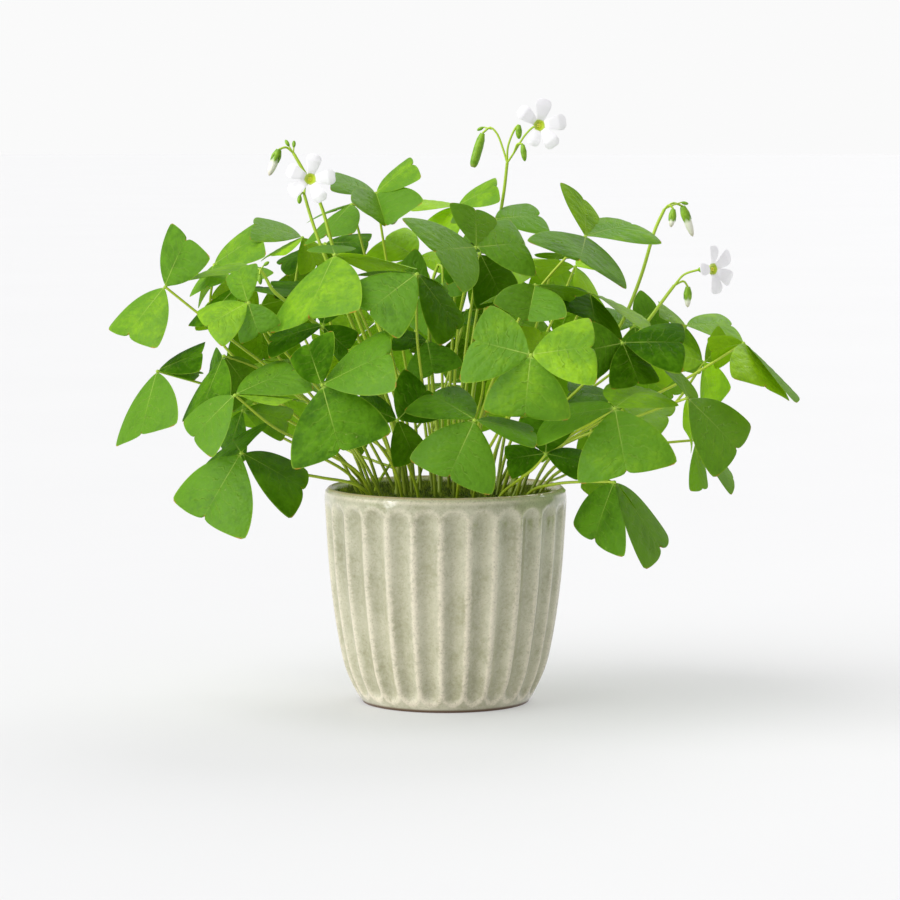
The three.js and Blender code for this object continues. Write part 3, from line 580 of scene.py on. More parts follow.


# %% [markdown]
# ### Glaze
# The glaze is a matt-to-satin sage green. It pools in the hollows, where it is greener and darker, and runs
# thin over ridges, arches and rim, where the buff clay shows through. Cloudy patches and fine specks come
# from the firing. The foot is a bare line, painted dark brown partly as the shadow where the pot meets the
# floor.

# %% Glaze
SAGE_LIGHT = colour(208, 204, 177)
SAGE_DEEP = colour(153, 151, 114)
BUFF = colour(232, 222, 198)
TAN = colour(206, 180, 140)
SPECK = colour(134, 120, 86)
# The bare foot's dark brown is partly painted shadow where the pot stands on the floor.
BARE_FOOT_AND_SHADOW = colour(96, 72, 50)

glaze, tree, shader = finish("sage_glaze", Specular_IOR_Level=0.5, Coat_Roughness=0.09, Coat_IOR=1.75)
height = add_node(tree, "ShaderNodeSeparateXYZ", Vector=object_place(tree)).outputs["Z"]
on_wall = mark(tree, "outer")
away = mark(tree, "away")
clouds = cloudy(tree, 0.018)
grain = cloudy(tree, 0.0021, 0.3, 0.72)
specks = cloudy(tree, 0.0009, 0.5, 0.7)
body = blend(tree, clouds, SAGE_LIGHT, SAGE_DEEP)
pooled = times(tree, between(tree, away, 0.8, 0.2, 0.0, 0.5), on_wall)
body = blend(tree, pooled, body, SAGE_DEEP)
body = blend(tree, times(tree, grain, 0.4), body, SAGE_LIGHT)
ridge = times(tree, between(tree, away, 0.6, 1.0), between(tree, away, 1.25, 1.02))
ridge = times(tree, ridge, times(tree, on_wall, plus(tree, 0.35, grain)))
ridge = times(tree, ridge, between(tree, height, 0.101, 0.094, 0.4, 1.0))
worn = between(tree, grain, 0.0, 0.6, 0.5, 0.8)
rim = times(tree, between(tree, height, 0.1035, 0.1055), worn)
thin = larger(tree, maths(tree, "MINIMUM", ridge, 0.7), rim)
body = blend(tree, thin, body, BUFF)
body = blend(tree, between(tree, height, 0.1066, 0.1073, 0.0, 0.8), body, TAN)
body = blend(tree, times(tree, specks, 0.38), body, SPECK)
# The dark bare foot line is partly painted contact shadow; the bare clay there also has no coat.
bare = between(tree, height, 0.0022, 0.0008)
body = blend(tree, bare, body, BARE_FOOT_AND_SHADOW)
tint(tree, shader, body)
feed(tree, shader.inputs["Roughness"], between(tree, grain, 0.0, 1.0, 0.34, 0.5))
feed(tree, shader.inputs["Coat Weight"], between(tree, bare, 0.0, 1.0, 0.85, 0.0))
relief = plus(tree, times(tree, clouds, 0.6), times(tree, grain, 0.12))
emboss(tree, shader, relief, 0.35, 0.8)

# %% Pot
section, outer = pot_profile()
section_line = lines_object("pot_section", [section], outer=[outer])
pot = grow("fluted_pot", section_line, pot_tree(glaze), Rows=len(section))
dress(pot, "glaze", "pot")


# %% [markdown]
# ## Soil and moss
# Potting soil fills the pot to just under its rim. It is crumbly, so noise raises and lowers its top, and
# moss has settled on it. Each sprig of moss is a star of thin spikes. Geometry nodes scatter the sprigs
# over the top with a fixed seed, more of them where a stored number says that the soil is moist.

# %% Soil
SOIL_EDGE = 100
SOIL_RISE = 4
SOIL_RADIUS = 54
SOIL_BANK = 3.6
SOIL_GAP = 0.35
SOIL_SIDES = 120
SOIL_RINGS = 44
CRUMBS = ((9, 0.3, 1.1), (2.6, 1.7, 0.7))  # size, layer of the noise, height
MOIST_PATCH = 14
EDGE_FADE = 3


def soil_top(radius):
    return SOIL_EDGE + SOIL_RISE * (1 - (radius / SOIL_RADIUS) ** 2)


def crumble(x, y):
    """Height of the crumbs at a place."""
    return sum(rise * noise.noise(Vector((x / size, y / size, layer))) for size, layer, rise in CRUMBS)


def soil_clay():
    clay = Clay("moist")
    (high_radius, high), (low_radius, low) = POT_INNER[:2]
    edge = np.interp(SOIL_EDGE, [low, high], [low_radius, high_radius]) - SOIL_GAP
    wall = [(r - SOIL_GAP, z + 0.3) for r, z in reversed(POT_INNER[1:])]
    rings = [(0, wall[0][1]), *wall, *[(edge * s, None) for s in np.linspace(1, 0, SOIL_RINGS)]]
    turns = np.linspace(0, 2 * math.pi, SOIL_SIDES + 1)
    points, moist = [], []
    for radius, z in rings:
        for t in turns:
            x, y = radius * math.cos(t), radius * math.sin(t)
            top = soil_top(radius) + crumble(x, y) * min(1, (edge - radius) / EDGE_FADE + 0.2)
            top += SOIL_BANK * (radius / edge) ** 4
            points.append((x, y, top if z is None else z))
            patch = noise.noise(Vector((x / MOIST_PATCH, y / MOIST_PATCH, 4.1)))
            moist.append(0.0 if z is not None else min(1, max(0.25, 0.7 + 1.2 * patch)))
    clay.add(points, grid_faces(len(rings), SOIL_SIDES + 1, flipped=True), moist=moist)
    return clay


soil_finish, tree, shader = finish("potting_soil", Roughness=0.95, Specular_IOR_Level=0.2)
crumbs = cloudy(tree, 0.003, 0.35, 0.65)
tufts_of_green = cloudy(tree, 0.016, 0.42, 0.6)
body = blend(tree, crumbs, colour(34, 24, 15), colour(84, 62, 40))
body = blend(tree, times(tree, tufts_of_green, 0.75), body, colour(52, 66, 18))
tint(tree, shader, body)
emboss(tree, shader, crumbs, 0.8)
soil = soil_clay().object("potting_soil", soil_finish)
dress(soil, "soil", "soil")

# %% Moss
SPRIG_SPIKES = 7
SPRIG_HEIGHT = 3.8
SPRIG_FOOT = 0.32
SPRIG_TILT = 0.35
SPRIGS_PER_M2 = 330000.0


def sprig_object():
    """A star of leaning three-sided spikes."""
    clay = Clay()
    draw = np.random.default_rng(11)
    for k in range(SPRIG_SPIKES):
        turn = 2 * math.pi * k / SPRIG_SPIKES + draw.uniform(-0.3, 0.3)
        lean = 0.0 if k == 0 else draw.uniform(0.5, 1.1)
        way = np.array([math.cos(turn) * lean, math.sin(turn) * lean, 1.0])
        tip = unit(way) * SPRIG_HEIGHT * draw.uniform(0.75, 1.1)
        side, other = across_from(unit(way))
        foot = [SPRIG_FOOT * (math.cos(a) * side + math.sin(a) * other) for a in (0, 2.1, 4.2)]
        clay.add([*foot, tip], [(0, 1, 3), (1, 2, 3), (2, 0, 3), (2, 1, 0)])
    return clay.object("moss_sprig")


def moss_tree(material):
    tree, given, put_out = geometry_tree(
        "scattered_moss", Sprig=None, Density=1.0, Seed=5, Smallest=0.5, Largest=1.25,
    )
    spots = add_node(tree, "GeometryNodeDistributePointsOnFaces", {"distribute_method": "RANDOM"})
    feed(tree, spots.inputs["Mesh"], given["Geometry"])
    feed(tree, spots.inputs["Density"], times(tree, given["Density"], stored(tree, "moist")))
    feed(tree, spots.inputs["Seed"], given["Seed"])
    sprig = add_node(tree, "GeometryNodeObjectInfo", Object=given["Sprig"])
    size = add_node(tree, "FunctionNodeRandomValue", {"data_type": "FLOAT"})
    feed(tree, size.inputs[2], given["Smallest"])
    feed(tree, size.inputs[3], given["Largest"])
    turn = add_node(tree, "FunctionNodeRandomValue", {"data_type": "FLOAT_VECTOR"})
    turn.inputs[0].default_value = (-SPRIG_TILT, -SPRIG_TILT, 0.0)
    turn.inputs[1].default_value = (SPRIG_TILT, SPRIG_TILT, 2 * math.pi)
    euler = add_node(tree, "FunctionNodeEulerToRotation", Euler=turn.outputs[0])
    sprigs = add_node(
        tree, "GeometryNodeInstanceOnPoints", Points=spots.outputs["Points"],
        Instance=sprig.outputs["Geometry"], Rotation=euler.outputs[0], Scale=size.outputs[1],
    )
    end_tree(tree, put_out, sprigs.outputs[0], material)
    return tree


moss_finish, tree, shader = finish("moss", Roughness=0.7, Specular_IOR_Level=0.3)
patches = cloudy(tree, 0.007, 0.35, 0.65)
tint(tree, shader, blend(tree, patches, colour(46, 66, 8), colour(132, 150, 26)))
sprig = sprig_object()
bed = put_in_scene("moss_bed", soil.data.copy())
moss = grow("moss", bed, moss_tree(moss_finish), Sprig=sprig, Density=SPRIGS_PER_M2)
bpy.data.objects.remove(sprig)
dress(moss, "leaf", "soil")


# %% [markdown]
# ## Where the leaves are
# Every leaf is given by its joint and the corners of its leaflets, as they look from one spot in front of
# the pot. A leaflet's true shape is known, so its corners tell its length and its slant. Each leaf leans the
# way that makes its three leaflets most regular. The far side repeats leaves of the near side: a row of the
# table counted from 0, a turn in degrees and a rise. Most numbers were chosen one by one. Thirteen came out
# of a trial search for places without crossings: the depth of the first leaf, the turns and rises of the
# second tuft, and those of the second and third leaf of the fourth tuft.

# %% The plant's own table
LEAFLET_SHORTEST = 16
LEAFLET_LONGEST = 40
CORNER_OUT = 0.72
SKYWARD = 0.8
FOLD = 6
UP = np.array([0.0, 0.0, 1.0])

LEAVES = [
    [2, -139.5, 207.5, [-118.5, 222, -138, 239], [-168.5, 188, -145, 178.5], [-98, 218, -118, 214]],
    [-44, -115, 218.5, [-90, 223, -95, 240], [-127.5, 203.5, -108.5, 211]],
    [-52, -71, 232, [-93, 243, -96, 232], [-71.5, 214, -58, 222], [-92, 221, -80, 224]],
    [-28, -46.5, 248.5, [-71, 230, -47, 236], [-26, 240, -22, 246]],
    [5, -34.5, 254, [-13, 262, -19, 272.5], [-53.5, 264.5, -56.5, 255.5], [-45.5, 250, -12, 250.5, -38]],
    [45, -55, 223.5, [-88, 187, -46, 198], [-15, 218, -26, 211], [-47, 227, -66, 226]],
    [70, -14, 214, [-50, 206, -24.5, 184], [-3, 179.5, 11, 193]],
    [50, -98, 199.5, [-124, 196, -111.5, 179.5], [-95, 216, -108, 210], [-102, 181, -84, 190]],
    [15, -104, 207, [-129, 190, -110, 187], [-79, 203, -77, 206], [-93, 212, -101, 214]],
    [18, -143.5, 165.5, [-165, 129, -135.5, 139.5], [-123, 166.5, -120, 180], [-126, 162, -121, 165]],
    [77, -105, 153.5, [-131, 141, -117.5, 124], [-67, 157.5, -84, 171.5], [-84, 149, -69, 150.5]],
    [95, -61.5, 158.5, [-57, 185, -78, 172], [-26.5, 158, -30, 187], [-75, 117, -29, 135]],
    [46, -110.5, 173, [-131.5, 141, -110, 146], [-106, 146, -90, 163]],
    [75, -102, 124.5, [-136, 101.5, -102.5, 83], [-77, 94, -68, 117.5], [-89, 141, -121, 118]],
    [34, -101, 146, [-113, 129, -101, 121], [-82, 132, -76, 148]],
    [50, -24, 141, [-40, 156, -47, 140], [-25, 118, -8, 125]],
    [30, -9, 180.5, [-19.5, 160, 8, 168], [-22, 186, -24, 177]],
    [-10, -9, 205, [-19, 189, -5, 183], [8, 205, 4, 218]],
    [105, 42.5, 173.5, [21.5, 198, 7.5, 161.5], [74, 160.5, 71.5, 192.5], [19.5, 146, 60.5, 142]],
    [62, 44.5, 208.5, [25, 200, 59, 193, -20], [71, 206, 58, 199]],
    [5, 64.5, 217.5, [47, 212, 44, 222], [66, 207, 73, 208], [84, 217, 72, 227]],
    [-40, 6, 247.5, [26, 251, 24, 262], [-9, 240, 5, 236], [-12, 251.3, -16.5, 246.5]],
    [-15, 24, 241, [51.5, 234, 41, 249.5], [10, 246, 3, 240]],
    [60, 15, 227, [-19.5, 242, 8.5, 206.5], [25.5, 241.5, 3, 249], [45, 214.5, 32, 241.5]],
    [15, 17, 224, [17, 197, 36, 209], [-2, 222, 1, 210]],
    [30, 69.5, 232.5, [78, 242, 57.5, 259], [107, 231, 79, 243.5], [43, 231, 89.5, 209.5]],
    [70, 88, 179.5, [84, 158, 107, 161], [117, 167, 117.5, 190], [66, 190, 72, 161]],
    [28, 71.5, 204.5, [59, 197, 88, 182], [101, 187.5, 96.5, 193], [50, 209, 50, 203]],
    [-5, 119.5, 188, [148, 180.5, 136, 194.5], [106, 200.5, 107, 193]],
    [30, 148.5, 179.5, [145.5, 164, 172, 152], [174.5, 151.5, 171.5, 155], [136, 168.5, 132.5, 182.5]],
    [8, 129, 170, [113, 181, 113, 166], [128, 140, 141, 157], [132, 178, 136, 172]],
    [78, 120.5, 152, [124.5, 157.5, 103, 176], [135, 114, 153, 139], [124, 125, 119.5, 137]],
    [90, 84.5, 147, [67.5, 110, 114, 120.5], [116, 151, 83, 161.5], [56, 150, 46, 129.5]],
    [46, 84, 152, [62, 161, 62, 147], [106, 134.5, 114.5, 149], [80, 132, 91, 131]],
    [55, 84.5, 110, [63.5, 89, 87.5, 73.5], [99.5, 67.5, 112, 85]],
    [-6, 124.5, 131, [143, 105, 142, 118], [131.5, 109, 123, 106], [137, 146, 121, 151]],
    [-12, 94, 188, [108.5, 188, 97, 202.5], [80, 198, 76, 186]],
    [100, 14.5, 141, [6, 158.5, -20, 146], [-17.5, 121.5, 22, 104.5], [44, 127.5, 41, 140]],
    [60, 50, 124, [30, 128, 33, 113], [66, 112, 70, 126]],
    [34, 45, 160, [55, 182, 38, 187], [38, 137, 50, 136]],
    [-70, -60, 229, [-41, 223, -37, 234], [-84, 222, -78, 214], [-53, 214, -64, 212]],
    [-14, -62, 206, [-86, 211, -84, 203], [-48, 196, -40, 206]],
    [-34, -14, 222, [-20, 238, -40, 223], [2, 214, 6, 226]],
    [40, -61, 188, [-86, 186, -87, 173], [-52, 170, -44, 184]],
]
TUFTS = [
    [[11, 180, 10], [18, 178, 4], [15, 184, 20], [6, 181, -6]],
    [[37, 171, 3], [32, 183, 3], [19, 173, -5], [18, 217, 15]],
    [[13, 193, 8], [10, 181, 8], [5, 178, -6], [7, 176, -30]],
    [[33, 196, 10], [20, 148, -44], [16, 176, 12], [38, 190, -2]],
]


# %% From the table to leaflets in space
def seen(across, up, nearer):
    """The point that looks to be there from the eye, and lies that far in front of the pot's axis."""
    reach = (-EYE[1] - nearer) / -EYE[1]
    return (np.array([across, 0.0, up]) - EYE) * reach + EYE


class Leaflet:
    """A leaflet's frame: its midrib, the way across it, its upper face, its length and its fold."""

    def __init__(self, rib, side, length, bend):
        self.rib, self.side, self.length, self.bend = rib, side, length, bend
        self.face = unit(np.cross(rib, side))


def leaflets_seen(joint, nearness, corners, at):
    """The two ways that a leaflet can stand when its corners look to be there."""
    bend = math.radians(corners[4] if len(corners) > 4 else FOLD)
    sight = unit(joint - EYE)
    right = unit(np.cross(sight, UP))
    rise = np.cross(right, sight)
    one, two = np.array(corners[:2]), np.array(corners[2:4])
    middle = ((one + two) / 2 - at) * nearness
    half = (one - two) / 2 * nearness
    sag, out = CORNER_OUT * math.sin(bend), CORNER_OUT * math.cos(bend)
    a, b = 1 + sag**2, out**2
    p, q, r = middle @ middle, half @ half, middle @ half
    total = a * q + b * p
    square = (total + math.sqrt(total**2 - 4 * a * b * (p * q - r**2))) / (2 * a * b)
    rib_depth = math.sqrt(max(a * square - p, 0))
    side_depth = -np.sign(r) * math.sqrt(max(b * square - q, 0))
    length = min(max(math.sqrt(square), LEAFLET_SHORTEST), LEAFLET_LONGEST)

    def in_space(flat, depth):
        return unit(right * flat[0] + rise * flat[1] - sight * depth)

    found = []
    for toward in (1, -1):
        along = in_space(middle, toward * rib_depth)
        side = in_space(half, toward * side_depth)
        face = unit(np.cross(side, along))
        found.append(Leaflet(unit(along + face * sag), -side, length, bend))
    return found


def third_leaflet(one, two):
    """The third leaflet of a leaf, the same angle from both others and on the drooping side."""
    axis = unit(one.face + two.face)
    dot = one.rib @ two.rib
    rib = (one.rib + two.rib) * dot / (1 + dot)
    cross = np.cross(one.rib, two.rib)
    lift = math.sqrt(max(0, (1 - 2 * dot**2 / (1 + dot)) / (1 - dot**2)))
    rib = unit(rib + cross * (-lift if cross @ axis > 0 else lift))
    return Leaflet(rib, unit(np.cross(axis, rib)), (one.length + two.length) / 2, math.radians(FOLD))


def regularity(three):
    """How well three leaflets go together: they go round, face the same way, and face the sky."""
    pairs = [(three[k], three[(k + 1) % 3]) for k in range(3)]
    in_turn = sum(a.side @ b.rib - b.side @ a.rib for a, b in pairs)
    return abs(in_turn) + sum(a.face @ b.face for a, b in pairs) + SKYWARD * sum(x.face[2] for x in three)


def leaf_of(row):
    """A row of the table as its joint and three leaflets."""
    nearer, across, up, *corners = row
    joint = seen(across, up, nearer)
    nearness = (-EYE[1] - nearer) / -EYE[1]
    mixed = [[]]
    for each in corners:
        pair = leaflets_seen(joint, nearness, each, np.array([across, up]))
        mixed = [[*before, one] for before in mixed for one in pair]
    whole = [three if len(three) == 3 else [*three, third_leaflet(*three)] for three in mixed]
    return joint, max(whole, key=regularity)


def turned_leaf(leaf, degrees, lift):
    """A leaf turned about the pot's axis and lifted."""
    turn = math.radians(degrees)
    spin = np.array([[math.cos(turn), -math.sin(turn), 0], [math.sin(turn), math.cos(turn), 0], [0, 0, 1]])
    joint, leaflets = leaf
    moved = [Leaflet(spin @ x.rib, spin @ x.side, x.length, x.bend) for x in leaflets]
    return spin @ joint + UP * lift, moved


leaves = [leaf_of(row) for row in LEAVES]
tufts = [[turned_leaf(leaves[row], degrees, lift) for row, degrees, lift in tuft] for tuft in TUFTS]
print("leaves:", len(leaves), "in tufts:", sum(map(len, tufts)))


# %% [markdown]
# ## Blades
# A leaflet is a broad wedge with rounded corners and a small nick where its midrib ends. Its mesh follows
# the side veins: each line of points starts on the midrib and ends on the margin further forward, so curls
# and veins follow the real ones. Upper and lower face meet in a thin margin. A little curl, drawn at random
# from a fixed seed, keeps the leaves from being copies of each other.

# %% Outlines
LEAFLET_OUTLINE = [
    (0.02, 0.0), (0.06, 0.085), (0.17, 0.265), (0.33, 0.46), (0.54, 0.625), (0.77, 0.725), (0.93, 0.76),
    (1.0, 0.755), (1.035, 0.69), (1.06, 0.5), (1.075, 0.3), (1.06, 0.1), (1.035, 0.03), (0.995, 0.0),
]
ALONG_STEPS = 34
ACROSS = np.array([0, 0.035, 0.1, 0.2, 0.33, 0.47, 0.61, 0.75, 0.87, 0.95, 1.0])


def rounded(outline, rounds=3):
    """An outline with its corners cut again and again, its two ends kept."""
    line = np.array(outline, float)
    for _ in range(rounds):
        early = line[:-1] * 0.75 + line[1:] * 0.25
        late = line[:-1] * 0.25 + line[1:] * 0.75
        middle = np.stack([early, late], axis=1).reshape(-1, 2)[1:-1]
        line = np.vstack([line[:1], middle, line[-1:]])
    return line


def evenly(line, count):
    """Points at even steps along a line."""
    far = np.concatenate([[0], np.cumsum(np.linalg.norm(np.diff(line, axis=0), axis=1))])
    at = np.linspace(0, far[-1], count)
    return np.stack([np.interp(at, far, line[:, k]) for k in range(line.shape[1])], axis=1)


def blade_grid(outline, along=ALONG_STEPS, across=ACROSS):
    """Places (s along the midrib, t across) of a blade's points, and their v along and u across."""
    margin = evenly(rounded(outline), along + 1)
    rib = np.linspace(margin[0], margin[-1], along + 1)
    u = np.concatenate([-across[:0:-1], across])
    flip = np.where(u < 0, -1, 1)
    share = np.abs(u)[None, :, None]
    place = rib[:, None] * (1 - share) + margin[:, None] * share
    place[..., 1] *= flip
    v = np.linspace(0, 1, along + 1)
    return place[..., 0], place[..., 1], *np.meshgrid(v, u, indexing="ij")


# %% One leaflet
BLADE_THICK = 0.42
KEEL = 0.45
KNOB_BELOW, KNOB_ABOVE = 1.3, 0.8
GROOVE = 0.16
SIDE_VEINS = 7
DRAW = np.random.default_rng(2024)
GRID = blade_grid(LEAFLET_OUTLINE)


def leaflet_relief(s, t, v, u, draw):
    """How far a leaflet's middle sheet lies above its folded plane, in units of its length."""
    droop = draw.uniform(0.03, 0.1) * (0.5 * s - s**2)
    pillow = draw.uniform(0.1, 0.2) * (np.abs(t) - t**2 / CORNER_OUT)
    sway = draw.uniform(0.006, 0.018) * np.sin(2 * math.pi * (v * draw.uniform(0.7, 1.4) + draw.uniform()))
    curl = draw.uniform(-0.035, 0.015) * u**4 * s
    lines = 0.005 * np.cos(2 * math.pi * SIDE_VEINS * v) * np.abs(u) * (1 - np.abs(u)) * 4
    twist = draw.uniform(-0.03, 0.03) * t * s
    return droop + pillow + sway * np.abs(u) ** 1.5 * np.sign(u) + curl - lines + twist


def swell(u, power):
    """1 along the middle of a blade, falling to 0 at its margin."""
    return np.sqrt(np.clip(1 - np.abs(u) ** power, 0, 1))


def add_sheet(clay, upper, lower, **marks):
    """Both faces of a thin sheet, given as grids of points."""
    for points, under in ((upper, 0.0), (lower, 1.0)):
        faces = grid_faces(*points.shape[:2], flipped=under > 0)
        clay.add(points.reshape(-1, 3), faces, under=under, **marks)


def add_leaflet(clay, joint, leaflet, tone, draw):
    """Both faces of one leaflet."""
    s, t, v, u = GRID
    length = leaflet.length
    relief = leaflet_relief(s, t, v, u, draw) * length
    fold = -np.abs(t) * length * math.sin(leaflet.bend)
    middle = (
        joint
        + (s * length)[..., None] * leaflet.rib
        + (t * length * math.cos(leaflet.bend))[..., None] * leaflet.side
        + (relief + fold)[..., None] * leaflet.face
    )
    half = BLADE_THICK / 2 * swell(u, 5) * np.sqrt(np.clip(v * (1 - v) * 40, 0, 1))
    rib = (np.abs(u) < 0.01) * np.clip(v * 12, 0, 1) * (1 - v)
    upper = middle + (half - rib * GROOVE)[..., None] * leaflet.face
    lower = middle - (half + rib * KEEL)[..., None] * leaflet.face
    out = np.abs(t.ravel()) * length / 10
    add_sheet(clay, upper, lower, along=v.ravel(), aside=u.ravel(), out=out, tone=tone)


# %% One leaf
KNOB = [(0, 0), (0.12, 0.55), (0.3, 0.9), (0.5, 1.05), (0.7, 0.9), (0.88, 0.55), (1, 0)]
LEAF_MARKS = ("along", "aside", "out", "tone", "under")


def add_leaf(clay, leaf, lights_and_ages, draw):
    """Three leaflets and the small swollen joint that they hinge on."""
    joint, leaflets = leaf
    for leaflet, tone in zip(leaflets, lights_and_ages):
        add_leaflet(clay, joint, leaflet, tone, draw)
    axis = unit(sum(x.face for x in leaflets))
    ends = joint - axis * KNOB_BELOW, joint + axis * KNOB_ABOVE
    add_turned(clay, *ends, KNOB, 8, tone=1.0, along=0.02)


# %% [markdown]
# ### The green of a leaf
# A fully grown leaf is deep green above, with a little blue in its usual green that is partly painted sheen
# of the sky, and paler below. A young one is bright yellow-green. One number for each leaflet says which,
# and it also paints each leaf's light and shade: shaded leaves darker, lit and backlit ones brighter. The
# midrib and the side veins are thin light lines, the margin is a hair-line of pale green, and a rusty dot
# marks each corner and the nick, where the leaf ends its growth. The blade also lets light through, which
# makes it glow where the lamp is behind it.

# %% Leaf finish
CORNER_AT = 0.66

leaf_green, tree, shader = finish("leaf_green")
along, aside, out, tone, under = (mark(tree, name) for name in LEAF_MARKS)
across = maths(tree, "ABSOLUTE", aside)
patches = cloudy(tree, 0.014, 0.32, 0.68)
flecks = cloudy(tree, 0.0022)
cushions = use_group(tree, quilting, Size=0.0016, Warp=0.0009)

shade = plus(tree, tone, times(tree, minus(tree, patches, 0.5), 0.2))
shade = plus(tree, shade, times(tree, minus(tree, flecks, 0.5), 0.11))
# Painted light and shade: low values paint shaded leaves dark green, high ones paint lit, backlit and young
# ones bright.
# The little blue in the usual green is partly painted sheen of the sky.
body = blend(tree, between(tree, shade, 0.0, 0.42), colour(50, 92, 0), colour(99, 149, 22))
body = blend(tree, between(tree, shade, 0.42, 1.0), body, colour(168, 214, 22))
body = blend(tree, times(tree, under, 0.28), body, colour(140, 182, 26))
scars = cloudy(tree, 0.0045, 0.7, 0.76)
body = blend(tree, times(tree, scars, 0.45), body, colour(190, 196, 112))

waves = add_node(tree, "ShaderNodeTexNoise", Scale=260.0, Detail=1.0, Vector=object_place(tree))
wobble = times(tree, minus(tree, waves.outputs["Fac"], 0.5), 0.9)
beat = plus(tree, times(tree, along, float(SIDE_VEINS)), wobble)
side_vein = between(tree, maths(tree, "PINGPONG", beat, 0.5), 0.1, 0.0)
side_vein = times(tree, side_vein, between(tree, across, 0.9, 0.3))
side_vein = times(tree, side_vein, between(tree, along, 0.02, 0.2))
midrib = times(tree, between(tree, out, 0.036, 0.01), between(tree, along, 0.9, 0.1, 0.1, 0.75))
foot = between(tree, along, 0.06, 0.0)
vein = larger(tree, larger(tree, midrib, foot), times(tree, side_vein, 0.12))
body = blend(tree, vein, body, colour(186, 210, 96))
margin = between(tree, across, 0.965, 0.995)
body = blend(tree, times(tree, margin, 0.4), body, colour(170, 200, 70))
from_corner = maths(tree, "ABSOLUTE", minus(tree, along, CORNER_AT))
corner = times(tree, between(tree, from_corner, 0.03, 0.012), margin)
nick = times(tree, between(tree, along, 0.978, 0.992), between(tree, out, 0.16, 0.08))
body = blend(tree, larger(tree, corner, nick), body, colour(186, 128, 52))
tint(tree, shader, body)
feed(tree, shader.inputs["Roughness"], between(tree, flecks, 0.0, 1.0, 0.46, 0.58))
gloss = between(tree, tone, 0.12, 0.42, 0.03, 0.28)
gloss = times(tree, gloss, between(tree, under, 0.0, 1.0, 1.0, 0.25))
feed(tree, shader.inputs["Specular IOR Level"], gloss)
relief = plus(tree, times(tree, cushions, 0.5), times(tree, patches, 0.8))
relief = minus(tree, relief, times(tree, side_vein, 0.35))
emboss(tree, shader, relief, 0.5, 0.9)
through = blend(tree, between(tree, tone, 0.0, 1.0), colour(132, 184, 4), colour(200, 232, 20))
let_light_through(tree, shader, through, 0.33)

# %% [markdown]
# ### Tones: painted light and shade, and age
# Leaves that catch the light, that the lamp shines through or that are young are painted brighter, and
# shaded or old ones are painted darker, as painted shade. A tuple gives the three leaflets of one leaf each
# their own tone.

# %% Leaves
# Per-leaflet values of painted light and shade, mixed with how young or old each leaf is.
LIGHT_AND_AGE = {
    0: (0.3, 0.55, 0.6), 1: 0.55, 2: (0.5, 0.8, 0.8), 4: (0.58, 0.45, 0.42), 5: (0.6, 0.95, 0.4),
    6: (0.32, 0.08, 0.3), 7: (0.65, 0.5, 0.35), 8: (0.15, 0.15, 0.5), 9: (0.38, 0.12, 0.4),
    10: (0.42, 0.42, 0.7), 11: (0.15, 0.42, 0.22), 12: (0.2, 0.3, 0.2), 13: (0.36, 0.2, 0.2),
    14: (0.2, 0.6, 0.6), 15: 0.15, 16: (0.3, 0.12, 0.2), 18: (0.48, 0.66, 0.52), 20: 0.85,
    21: (0.6, 0.85, 0.85), 23: 0.42, 24: 0.1, 25: (0.62, 0.5, 0.3), 26: (0.12, 0.08, 0.22),
    27: (0.1, 0.7, 0.1), 28: 0.6, 29: (0.75, 0.42, 0.8), 30: (0.7, 0.72, 0.6), 31: (0.45, 0.42, 0.85),
    32: (0.47, 0.62, 0.42), 33: (0.3, 0.85, 0.5), 34: (0.28, 0.35, 0.4), 37: (0.26, 0.4, 0.3), 38: 0.15,
    39: 0.75, 40: 0.15, 41: 0.1, 42: 0.85, 43: 0.1,
}
USUAL_LIGHT_AND_AGE = 0.42


def light_and_age_of(row):
    tone = LIGHT_AND_AGE.get(row, USUAL_LIGHT_AND_AGE)
    return tone if isinstance(tone, tuple) else (tone, tone, tone)


LEAF_NAMES = [f"leaf_{k + 1:02d}" for k in range(len(LEAVES))]
TUFT_NAMES = [f"tuft_{k + 1}" for k in range(len(TUFTS))]
grown = [[(leaf, row)] for row, leaf in enumerate(leaves)]
grown += [[(leaf, row) for leaf, (row, _, _) in zip(tuft, rows)] for tuft, rows in zip(tufts, TUFTS)]
for name, group in zip(LEAF_NAMES + TUFT_NAMES, grown):
    clay = Clay(*LEAF_MARKS)
    for leaf, row in group:
        add_leaf(clay, leaf, light_and_age_of(row), DRAW)
    dress(clay.object(f"{name}_blades", leaf_green), "leaf", name)


# %% [markdown]
# ## Stalks
# Every leaf stalk is thin, round and a little thicker at its foot. The plain solids already have stalks
# that miss each other, so their routes are read from the frame: a stalk there is a tube of square rings, and
# the middle of each ring is a point of its route. Climbing from the lowest ring to its neighbours gives them
# in order.

# %% Routes of the stalks
STALK_SIDES = 4
CROWN_SIDES = 8
CROWN_PROUD = 0.6
CROWN_STALK = 2.1
CROWN_SINK = 2.4
OVER_CROWN = 0.05


def welded(node):
    """A CAD node's points in millimetres, each once, and for each point the ones that it is joined to."""
    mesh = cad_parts[node].data
    places = np.empty(len(mesh.vertices) * 3)
    mesh.vertices.foreach_get("co", places)
    points, which = np.unique((places.reshape(-1, 3) / MM).round(2), axis=0, return_inverse=True)
    which = which.ravel()
    joined = [set() for _ in points]
    for face in mesh.polygons:
        corners = {which[k] for k in face.vertices}
        for corner in corners:
            joined[corner] |= corners
    return points, joined


def climb(points, joined, ring):
    """The middles of a tube's rings, from its lowest ring up."""
    middles, passed = [], set()
    while len(ring) == STALK_SIDES:
        middles.append(points[sorted(ring)].mean(axis=0))
        passed |= ring
        ring = set().union(*(joined[k] for k in ring)) - passed
    return middles


def lowest(points, among, count=STALK_SIDES):
    return set(sorted(among, key=lambda k: points[k][2])[:count])


